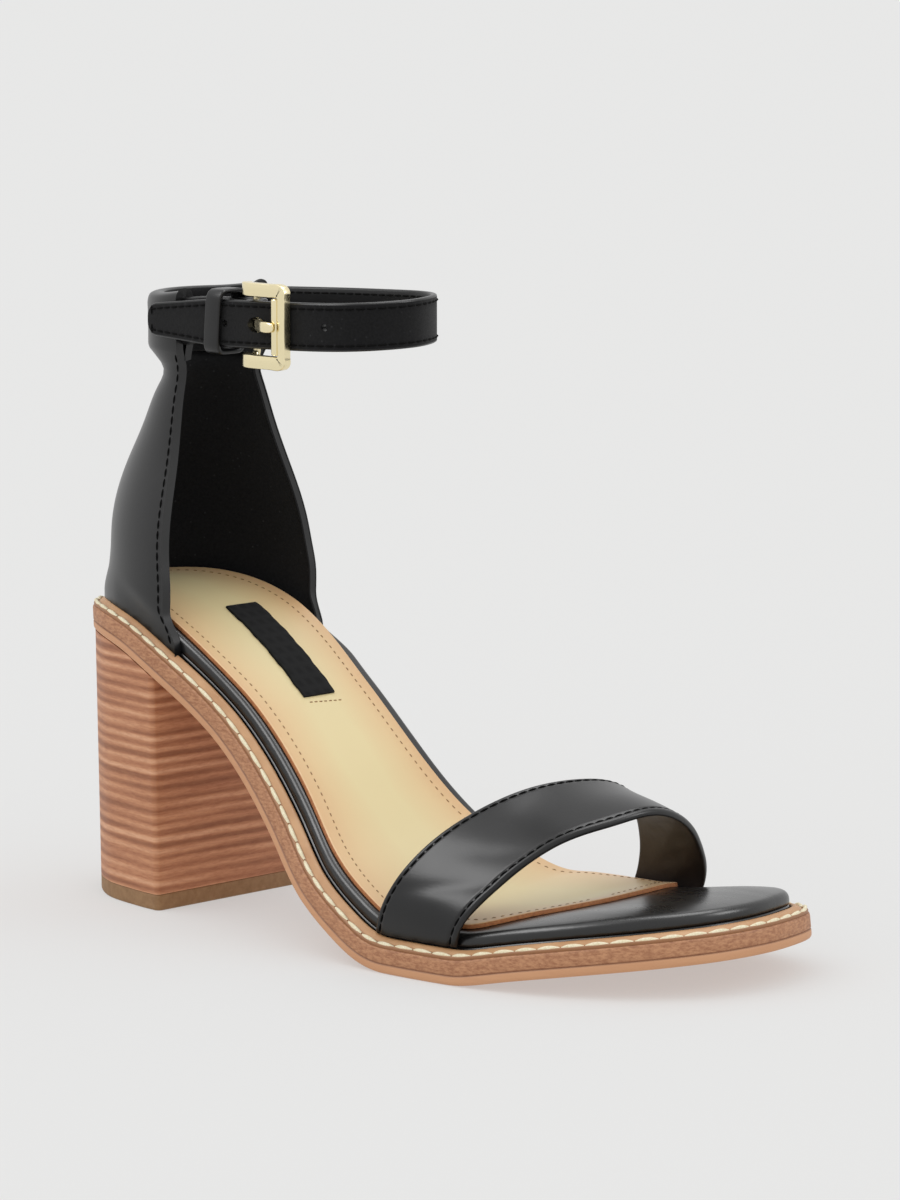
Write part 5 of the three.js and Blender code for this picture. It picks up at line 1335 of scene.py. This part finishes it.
def counter_stitches():
    lines = []
    for end in (COUNTER_STITCH_SHARE, 1 - COUNTER_STITCH_SHARE):
        points, ups = [], []
        for z in np.linspace(COUNTER_FOOT_Z - (4 if end > 0.5 else 6), TAB_FOOT_Z + 2, 60):
            rise = (z - COUNTER_FOOT_Z) / COUNTER_HEIGHT
            foot = along_path(FOOT_PATH, end, 0)
            foot_lift = lift(foot[0], foot[1], RIDGE_SEAT)
            if z < foot_lift[2] + 0.6:
                continue
            share_up = (z - foot_lift[2]) / (TAB_FOOT_Z - foot_lift[2])
            blend = 1 - smoothstep(share_up, 0.03, 0.15)
            plan = counter_plan(z, end, 0) * (1 - blend) + foot * blend
            points.append((plan[0] + (foot_lift[0] - foot[0]) * blend, plan[1], z))
            inner = counter_plan(z, end, 1.0)
            outer = counter_plan(z, end, 0.0)
            ups.append((outer[0] - inner[0], outer[1] - inner[1], 0.0))
        lines.append((np.array(points), np.array(ups), False))
    piece = run_nodes("counter_stitches", BLACK_STITCHES, lines, UPPER_SIZES)
    return keep(piece, "leather")


# Ankle strap

EYE_RADIUS = BUCKLE_BAR_DIAMETER / 2 + 0.35 + STRAP_THICKNESS / 2
TAB_DEPTH = TAB_WALL + STRAP_GAP + STRAP_THICKNESS / 2
PRONG_HOLE_X = BUCKLE_BAR_X + 4.7
STRAP_INNER_Y = BUCKLE_BAR_Y + EYE_RADIUS - 0.8


def strap_plan():
    tab = [counter_plan(SLEEVE_FOOT_Z, 1 - share, TAB_DEPTH)
           for share in (1, 0.85, 0.68, 0.5, 0.32, 0.15, 0)]
    plan = []
    for degrees in (-125, -90, -50, 0, 50, 90):
        a = math.radians(degrees)
        plan.append((BUCKLE_BAR_X + EYE_RADIUS * math.cos(a),
                     BUCKLE_BAR_Y + EYE_RADIUS * math.sin(a)))
    plan.append((BUCKLE_BAR_X - 4, STRAP_INNER_Y + 0.55))
    plan.append((KEEPER_X, STRAP_INNER_Y))
    plan.append(((KEEPER_X + TAB_MIDDLE_X) / 2, (STRAP_INNER_Y + tab[0][1]) / 2))
    plan += [tuple(p) for p in tab]
    plan += [(TAB_MIDDLE_X + x * LOOP_LENGTH, y * LOOP_WIDTH) for x, y in LOOP_SHAPE]
    plan += [(BUCKLE_BAR_X + 12, TAIL_Y), (BUCKLE_BAR_X + 3, TAIL_Y - 0.05),
             (BUCKLE_BAR_X - 6, TAIL_Y), (KEEPER_X - 4, TAIL_Y + 0.15),
             (TAB_MIDDLE_X, TAIL_Y + 0.45), (TAIL_TIP_X + 3, TAIL_Y + 0.6),
             (TAIL_TIP_X, TAIL_Y + 0.8)]
    return catmull(np.array(plan), False, 30)


STRAP_PATH = strap_plan()
STRAP_LENGTH = running_length(STRAP_PATH)[-1]


def strap_half_width(s):
    left = STRAP_LENGTH - s
    taper = 1 - np.clip(left / TAIL_TAPER, 0, 1)
    half = STRAP_WIDTH / 2 + (TAIL_TIP_WIDTH - STRAP_WIDTH) / 2 * taper
    end = np.clip(left / 3.0, 0, 1)
    return half - 2.6 * (1 - np.sqrt(1 - (1 - end) ** 2))


def strap_frame(s):
    p = at_length(STRAP_PATH, s)
    step = at_length(STRAP_PATH, np.minimum(s + 0.2, STRAP_LENGTH))
    step = step - at_length(STRAP_PATH, np.maximum(s - 0.2, 0))
    step = step / np.linalg.norm(step, axis=-1, keepdims=True)
    outward = np.stack([step[..., 1], -step[..., 0]], -1)
    z = strap_middle_z(p[..., 0], p[..., 1], np.asarray(s) < STRAP_LENGTH * 0.75)
    return p, outward, z


def strap_section(half):
    """(outward share of half the thickness, height) round the strap."""
    return [(1.0, half - 1.6), (1.0, half - 0.55), (0.86, half - 0.2), (0.45, half),
            (-0.45, half), (-0.86, half - 0.2), (-1.0, half - 0.5), (-1.0, half - 2.0),
            (-1.0, 0.0), (-1.0, 2.0 - half), (-1.0, 0.5 - half), (-0.86, 0.2 - half),
            (-0.45, -half), (0.45, -half), (0.86, 0.2 - half), (1.0, 0.55 - half),
            (1.0, 1.6 - half), (1.0, 0.0)]


def prism(name, x, z, half_x, half_z, y_low, y_high, sides=24):
    angles = (np.arange(sides) + 0.5) / sides * 2 * np.pi
    rings = [np.stack([x + half_x * np.cos(angles), np.full(sides, y),
                       z + half_z * np.sin(angles)], -1) for y in (y_low, y_high)]
    return loft(name, rings, "fan", [LEATHER])


def cut_out(piece, cutters):
    for cutter in cutters:
        modifier = piece.modifiers.new("hole", "BOOLEAN")
        modifier.operation, modifier.solver, modifier.object = "DIFFERENCE", "EXACT", cutter
    apply_modifiers(piece)
    for cutter in cutters:
        bpy.data.objects.remove(cutter)
    piece.data.shade_smooth()
    piece.data.set_sharp_from_angle(angle=math.radians(40))


def ankle_strap():
    s = np.concatenate([np.arange(0, 8, 0.35), np.arange(8, STRAP_LENGTH - 5, 1.15),
                        STRAP_LENGTH - np.array([4.5, 3.6, 2.9, 2.2, 1.6, 1.1, 0.7, 0.4, 0.2,
                                                 0.08, 0.0])])
    rings = []
    for spot in s:
        p, outward, z = strap_frame(spot)
        half = float(strap_half_width(spot))
        crown_out = 0.12 if spot < STRAP_LENGTH - 3 else 0.0
        ring = []
        for a, b in strap_section(half):
            a = a + (crown_out * (1 - (b / half) ** 2) if a == 1.0 else 0)
            offset = a * STRAP_THICKNESS / 2
            ring.append((p[0] + outward[0] * offset, p[1] + outward[1] * offset, z + b))
        rings.append(ring)
    lining = {6, 7, 8, 9}
    piece = loft("ankle_strap_dressed", rings, "fan", [LEATHER, SUEDE],
                 row_slots=lambda r, i: 1 if i in lining else 0, sharp=40)
    inner_y = TAIL_Y + STRAP_THICKNESS / 2 + 0.3
    cutters = [prism("slot", PRONG_HOLE_X, float(strap_middle_z(PRONG_HOLE_X, TAIL_Y)),
                     PRONG_SLOT_LENGTH / 2, PRONG_SLOT_WIDTH / 2, TAIL_Y - 2.5, inner_y)]
    for step in (-1, 1, 2):
        x = PRONG_HOLE_X + step * HOLE_PITCH
        cutters.append(prism("hole", x, float(strap_middle_z(x, TAIL_Y, 0)), HOLE_DIAMETER / 2,
                             HOLE_DIAMETER / 2, TAIL_Y - 2.5, inner_y + 1.5))
    eye_z = float(strap_middle_z(BUCKLE_BAR_X, BUCKLE_BAR_Y))
    half_z = PRONG_WIDTH / 2 + 0.4
    box = [(-4.2, -half_z), (4.2, -half_z), (4.2, half_z), (-4.2, half_z)]
    rings = [[(BUCKLE_BAR_X + dx, y, eye_z + dz) for dx, dz in box]
             for y in (BUCKLE_BAR_Y - EYE_RADIUS - STRAP_THICKNESS / 2 - 0.15,
                       BUCKLE_BAR_Y + EYE_RADIUS + STRAP_THICKNESS)]
    cutters.append(loft("eye_slot", rings, "fan", [LEATHER]))
    cut_out(piece, cutters)
    return keep(piece, "leather", "ankle_strap")


def strap_stitches():
    lines = []
    s = np.arange(STRAP_STITCH_START, STRAP_LENGTH - 1.9, 0.8)
    for sign, face in ((1, 1), (-1, 1), (1, -1), (-1, -1)):
        points, ups = [], []
        for spot in s:
            p, outward, z = strap_frame(spot)
            half = float(strap_half_width(spot))
            offset = face * (STRAP_THICKNESS / 2 + 0.03)
            points.append((p[0] + outward[0] * offset, p[1] + outward[1] * offset,
                           z + sign * (half - STRAP_STITCH_MARGIN)))
            ups.append((face * outward[0], face * outward[1], 0.0))
        lines.append((np.array(points), np.array(ups), False))
    p, outward, z = strap_frame(STRAP_LENGTH - 1.7)
    reach = float(strap_half_width(STRAP_LENGTH - 1.9)) - 1.6
    offset = -STRAP_THICKNESS / 2 - 0.03
    across = [(p[0] + outward[0] * offset, p[1] + outward[1] * offset, z + h)
              for h in np.linspace(-reach, reach, 8)]
    lines.append((np.array(across), np.tile([-outward[0], -outward[1], 0.0], (8, 1)), False))
    piece = run_nodes("strap_stitches", BLACK_STITCHES, lines, UPPER_SIZES)
    return keep(piece, "leather")


# Buckle and keeper

BUCKLE_FRONT_X = BUCKLE_BAR_X + BUCKLE_LENGTH
STRAP_OUTER = TAIL_Y - STRAP_THICKNESS / 2
BUCKLE_FRONT_Y = STRAP_OUTER - 0.4 - BUCKLE_DEPTH / 2
BUCKLE_Z = float(strap_middle_z(BUCKLE_BAR_X + 8, TAIL_Y))
ARM_Z = (BUCKLE_HEIGHT - BUCKLE_ARM) / 2
ROLLER_X = BUCKLE_FRONT_X - BUCKLE_DEPTH / 2 - GAP - ROLLER_DIAMETER / 2 - 0.2
ROLLER_Y = STRAP_OUTER - GAP - ROLLER_DIAMETER / 2


def buckle_frame():
    half = [
        (BUCKLE_FRONT_X, 0, 0), (BUCKLE_FRONT_X, 0.4, 0), (BUCKLE_FRONT_X, 0.78, 0),
        (BUCKLE_FRONT_X - 0.25, 0.93, 0), (BUCKLE_FRONT_X - 1.1, 1, 0),
        (BUCKLE_FRONT_X - 4, 1, 0), (BUCKLE_FRONT_X - 8, 1, 0), (BUCKLE_BAR_X + 3.6, 1, 0.05),
        (BUCKLE_BAR_X + 1.6, 1, 0.25), (BUCKLE_BAR_X + 0.5, 0.98, 0.6),
        (BUCKLE_BAR_X + 0.1, 0.92, 0.9), (BUCKLE_BAR_X, 0.8, 1), (BUCKLE_BAR_X, 0.4, 1),
        (BUCKLE_BAR_X, 0, 1),
    ]
    whole = half + [(x, -rise, way) for x, rise, way in half[1:-1][::-1]]
    dense = catmull(np.array(whole), True, 6)
    path = np.stack([dense[:, 0],
                     BUCKLE_FRONT_Y + (BUCKLE_BAR_Y - BUCKLE_FRONT_Y) * dense[:, 2],
                     BUCKLE_Z + dense[:, 1] * ARM_Z], -1)

    def section(i):
        rise, way = abs(dense[i, 1]), dense[i, 2]
        bar = BUCKLE_BAR_DIAMETER / 2
        arm = BUCKLE_DEPTH / 2 + (BUCKLE_ARM - BUCKLE_DEPTH) / 2 * smoothstep(rise, 0.78, 0.95)
        slim = smoothstep(way, 0.3, 1)
        a = arm + (bar - arm) * slim
        b = BUCKLE_DEPTH / 2 + (bar - BUCKLE_DEPTH / 2) * slim
        return rounded_box(a, b, (0.22 + 0.6 * slim) * min(a, b), 3)
    rings = sweep_rings(path, section, (0, 1, 0), closed=True)
    piece = loft("buckle_frame_dressed", rings, "loop", [GOLD], sharp=30)
    return keep(piece, "metal", "buckle_frame")


def buckle_roller():
    half = BUCKLE_HEIGHT / 2 - BUCKLE_ARM - GAP
    radius = ROLLER_DIAMETER / 2
    rows = [(-half, radius - 0.4), (-half + 0.06, radius - 0.18), (-half + 0.25, radius - 0.02),
            (-half + 0.4, radius), (0, radius), (half - 0.4, radius),
            (half - 0.25, radius - 0.02), (half - 0.06, radius - 0.18), (half, radius - 0.4)]
    angles = np.arange(40) / 40 * 2 * np.pi
    rings = [np.stack([ROLLER_X + r * np.cos(angles), ROLLER_Y + r * np.sin(angles),
                       np.full(40, BUCKLE_Z + z)], -1) for z, r in rows]
    piece = loft("buckle_roller_dressed", rings, "fan", [GOLD], sharp=50)
    return keep(piece, "metal", "buckle_roller")


def buckle_prong():
    hook = BUCKLE_BAR_DIAMETER / 2 + 0.35 + PRONG_THICKNESS / 2
    plan = [(BUCKLE_BAR_X + hook * math.cos(math.radians(d)),
             BUCKLE_BAR_Y + hook * math.sin(math.radians(d)))
            for d in (25, 70, 115, 160, 205, 245, 275)]
    rest = ROLLER_Y - ROLLER_DIAMETER / 2 - GAP - PRONG_THICKNESS / 2
    plan += [(BUCKLE_BAR_X + 2.1, BUCKLE_BAR_Y - hook - 0.4), (PRONG_HOLE_X - 0.9, TAIL_Y + 0.9),
             (PRONG_HOLE_X + 0.4, TAIL_Y - 0.9), (PRONG_HOLE_X + 2.2, STRAP_OUTER - 1.2),
             (ROLLER_X - 2.6, rest + 0.25), (ROLLER_X - 0.6, rest), (ROLLER_X + 1.2, rest)]
    dense = catmull(np.array(plan), False, 12)
    path = at_share(dense, np.linspace(0, 1, 90))
    path = np.hstack([path, np.full((len(path), 1), BUCKLE_Z)])

    def section(i):
        end = min(1.0, (len(path) - 1 - i) / 9)
        full = math.sqrt(1 - (1 - end) ** 2)
        a = PRONG_THICKNESS / 2 * (0.35 + 0.65 * full)
        b = PRONG_WIDTH / 2 * (0.35 + 0.65 * full)
        return rounded_box(a, b, 0.9 * min(a, b), 4)
    rings = sweep_rings(path, section, (0, 0, 1))
    piece = loft("buckle_prong_dressed", rings, "fan", [GOLD], sharp=40)
    return keep(piece, "metal", "buckle_prong")


def keeper():
    out_y = STRAP_OUTER - 0.35 - KEEPER_WALL / 2
    in_y = STRAP_INNER_Y + STRAP_THICKNESS / 2 + 0.6 + KEEPER_WALL / 2
    middle_z = float(strap_middle_z(KEEPER_X, TAIL_Y)) + 0.3
    half_z = (KEEPER_HEIGHT - KEEPER_WALL) / 2
    middle_y, half_y = (out_y + in_y) / 2, (in_y - out_y) / 2
    quarter = [(1, 0), (1, 0.45), (0.96, 0.8), (0.78, 0.96), (0.4, 1.0)]
    shape = quarter + [(0, 1)] + [(-a, b) for a, b in quarter[::-1]]
    shape += [(-a, -b) for a, b in quarter[1:]] + [(0, -1)]
    shape += [(a, -b) for a, b in quarter[::-1][:-1]]
    dense = catmull(np.array(shape, float), True, 6)
    path = np.stack([KEEPER_X + 0.6 * dense[:, 1], middle_y + dense[:, 0] * half_y,
                     middle_z + dense[:, 1] * half_z], -1)
    rings = sweep_rings(path, lambda i: rounded_box(KEEPER_WALL / 2, KEEPER_WIDTH / 2, 0.45, 4),
                        (1, 0, 0), closed=True)
    piece = loft("keeper_dressed", rings, "loop", [LEATHER], sharp=50)
    return keep(piece, "leather", "keeper")


# Toe strap

arch_back = column(TOE_STRAP_ARCH, 1, TOE_STRAP_RADIUS)
arch_front = column(TOE_STRAP_ARCH, 2, TOE_STRAP_RADIUS)
strap_foot_near = foot_outer[:SOLE_STATIONS + 1]


def toe_strap_point(turn, across):
    turn, across = np.asarray(turn, float), np.asarray(across, float)
    angle = turn * np.pi
    along = (1 - np.cos(angle)) / 2

    def edge(row):
        near, far, lean = row
        share = near + (far - near) * along + lean * np.sin(angle)
        return TOE_STRAP_START + TOE_STRAP_WIDTH * share
    x = edge(TOE_STRAP_BACK) * (1 - across) + edge(TOE_STRAP_FRONT) * across
    radius = arch_back(turn) * (1 - across) + arch_front(turn) * across
    radius = radius + 0.35 * np.sin(angle) * 4 * across * (1 - across)
    y = TOE_STRAP_MIDDLE_Y - radius * np.cos(angle)
    z = radius * np.sin(angle)
    base = lift(x, 0 * x, RIDGE_SEAT + 0.3)[..., 2]
    near = np.maximum(0, 1 - turn / 0.16) ** 2
    far = np.maximum(0, 1 - (1 - turn) / 0.16) ** 2
    near_y = np.interp(x, strap_foot_near[:, 0], strap_foot_near[:, 1])
    far_y = np.interp(x, foot_medial[:, 0], foot_medial[:, 1])
    y = y + (near_y - y) * near
    y = y + (far_y - y) * far
    return np.stack([x, y, z + base], -1)


def toe_strap_normal(turn, across):
    """Points from the outer face inwards."""
    turn, across = np.asarray(turn, float), np.asarray(across, float)
    a = toe_strap_point(np.minimum(1, turn + 0.01), across)
    a = a - toe_strap_point(np.maximum(0, turn - 0.01), across)
    b = toe_strap_point(turn, np.minimum(1, across + 0.05))
    b = b - toe_strap_point(turn, np.maximum(0, across - 0.05))
    normal = np.cross(a, b)
    normal /= np.linalg.norm(normal, axis=-1, keepdims=True)
    end = np.minimum(turn, 1 - turn)
    flat = normal * np.array([0.3, 1, 0])
    flat /= np.maximum(np.linalg.norm(flat, axis=-1, keepdims=True), 1e-9)
    return np.where((end < 0.03)[..., None], flat, normal)


# Rows of stitches, as shares of the strap's width from its front and back edges.
FRONT_FOLD = 0.075
BACK_FOLD = 0.06


def outer_relief(across, turn):
    """Depth below the outer face in mm: grooves where the stitches pull the leather down."""
    groove = 0.28 * np.exp(-((across - BACK_FOLD) / 0.014) ** 2)
    groove = groove + 0.36 * np.exp(-((across - (1 - FRONT_FOLD)) / 0.014) ** 2)
    # Soft creases across the strap near its feet, placed one by one.
    for place, depth, width in ((0.115, 0.30, 0.018), (0.205, 0.22, 0.03), (0.86, 0.25, 0.02)):
        fade = np.exp(-((across - 0.55) / 0.42) ** 2)
        off = turn - place - 0.05 * (across - 0.5)
        groove = groove + depth * np.exp(-(off / width) ** 2) * fade
    return groove


def toe_strap():
    edge_round = [(0.0, 0.52), (0.004, 0.34), (0.012, 0.18), (0.024, 0.07), (0.04, 0.01)]
    outer = edge_round + [(a, 0.0) for a in np.linspace(0.05, 0.95, 61)]
    outer += [(1 - a, d) for a, d in edge_round[::-1]]
    inner = [(1.0, 0.72), (0.994, 0.88), (0.98, 0.97)]
    inner += [(a, 1.0) for a in np.linspace(0.96, 0.04, 40)] + [(0.02, 0.97), (0.006, 0.88),
                                                              (0.0, 0.72)]
    section = outer + inner
    turns = np.linspace(0, 1, TOE_STRAP_STATIONS + 1)
    rings = []
    for turn in turns:
        end = min(turn, 1 - turn)
        wall = FOOT_WALL + (TOE_STRAP_WALL - FOOT_WALL) * float(smoothstep(end, 0.03, 0.1))
        across = np.array([a for a, _ in section])
        depth = np.array([d for _, d in section]) * wall
        is_outer = np.arange(len(section)) < len(outer)
        depth = depth + np.where(is_outer, outer_relief(across, turn), 0)
        fold = 0.22 * np.sin(across * 7 + turn * 26) * np.sin(turn * 60 + across * 3)
        depth = depth - np.where(is_outer, 0, np.abs(fold) * smoothstep(end, 0.02, 0.1)
                                 * np.sin(np.pi * np.clip(across, 0, 1)))
        points = toe_strap_point(np.full(len(section), turn), across)
        normals = toe_strap_normal(np.full(len(section), turn), across)
        rings.append(points + normals * depth[:, None])
    count = len(outer)
    piece = loft("toe_strap_dressed", rings, "fan", [LEATHER, LINING],
                 row_slots=lambda r, i: 1 if count + 1 <= i < len(section) - 2 else 0, sharp=60)
    return keep(piece, "leather", "toe_strap")


def toe_strap_stitches():
    lines = []
    turns = np.linspace(0.012, 0.988, 160)
    for across in (BACK_FOLD, 1 - FRONT_FOLD):
        spots = np.full(len(turns), across)
        normals = toe_strap_normal(turns, spots)
        depth = np.array([float(outer_relief(np.array(across), t)) for t in turns])
        points = toe_strap_point(turns, spots) + normals * (depth - 0.1)[:, None]
        lines.append((points, -normals, False))
    piece = run_nodes("toe_strap_stitches", BLACK_STITCHES, lines, UPPER_SIZES)
    return keep(piece, "leather")


for make in (outsole, welt, welt_stitches, footbed, sock, sock_stitches, label, label_stitches,
             heel_block, heel_tip, counter, counter_stitches, ankle_strap, strap_stitches,
             buckle_frame, buckle_roller, buckle_prong, keeper, toe_strap, toe_strap_stitches):
    make()


# Floor, light and camera

SENSOR_HEIGHT = 36.0
FOCAL_PIXELS = 5449.673
PHOTO_HEIGHT = 1200


def floor():
    mesh = bpy.data.meshes.new("studio_floor")
    size = 6.0
    mesh.from_pydata([(-size, -size, 0), (size, -size, 0), (size, size, 0), (-size, size, 0)],
                     [], [(0, 1, 2, 3)])
    mesh.materials.append(finished("white_paper_painted_glow", glowing_paper_painted_light))
    plane = bpy.data.objects.new("studio_floor", mesh)
    bpy.context.collection.objects.link(plane)


def standing(right, up, back, place):
    """Matrix of something at a place, from the directions of its three axes."""
    return Matrix([[right[k], up[k], back[k], place[k]] for k in range(3)] + [[0, 0, 0, 1]])


def look_at(place, target):
    """Matrix of something that looks from place to target with its top up."""
    back = np.array(place, float) - np.array(target, float)
    back /= np.linalg.norm(back)
    right = np.cross((0, 0, 1), back)
    right /= np.linalg.norm(right)
    return standing(right, np.cross(back, right), back, place)


def lamp(name, kind, place, target, energy, **settings):
    data = bpy.data.lights.new(name, kind)
    data.energy = energy
    for key, value in settings.items():
        setattr(data, key, value)
    made = bpy.data.objects.new(name, data)
    made.matrix_world = look_at(place, target)
    bpy.context.collection.objects.link(made)
    return made


def softbox(name, place, target, width, height, watts):
    """A panel that only shows as a reflection, so that the backdrop stays even."""
    made = lamp(name, "AREA", place, target, watts, shape="RECTANGLE", size=width, size_y=height)
    made.visible_diffuse = False


def studio():
    world = bpy.data.worlds.new("studio")
    world.use_nodes = True
    tree = world.node_tree
    tree.nodes.clear()
    sky = add(tree, "ShaderNodeBackground", {"Color": linear("#ffffff"), "Strength": 0.86})
    add(tree, "ShaderNodeOutputWorld", {"Surface": sky})
    bpy.context.scene.world = world
    middle = (0.0, 0.0, 0.08)
    lamp("key_sun", "SUN", (-0.35, -0.5, 1.2), middle, 0.34, angle=math.radians(50))
    lamp("fill_sun", "SUN", (0.9, 0.25, 0.9), middle, 0.18, angle=math.radians(70))
    softbox("key_softbox", (-0.35, -0.75, 0.95), middle, 0.7, 0.6, 7.0)
    softbox("top_softbox", (0.15, 0.35, 1.3), middle, 0.9, 0.7, 8.0)
    softbox("toe_softbox", (1.0, 0.5, 0.7), middle, 0.4, 0.5, 4.0)
    bpy.context.scene.view_settings.view_transform = "Standard"
    bpy.context.scene.view_settings.look = "None"


def camera():
    """The camera fitted to the photograph's outline, in the coordinates of the tables."""
    place = to_frame((1041.269, -960.349, 275.025))
    right = np.array([0.72101393, 0.69291922, -0.00136175])
    up = np.array([-0.09701448, 0.10289345, 0.98995006])
    back = np.array([0.68609555, -0.71363568, 0.14141081])
    data = bpy.data.cameras.new("camera")
    data.sensor_fit, data.sensor_height = "VERTICAL", SENSOR_HEIGHT
    data.lens = FOCAL_PIXELS / PHOTO_HEIGHT * SENSOR_HEIGHT
    data.clip_start, data.clip_end = 0.05, 30.0
    shot = bpy.data.objects.new("camera", data)
    bpy.context.collection.objects.link(shot)
    shot.matrix_world = standing(right, up, back, place)
    bpy.context.scene.camera = shot


floor()
studio()
camera()
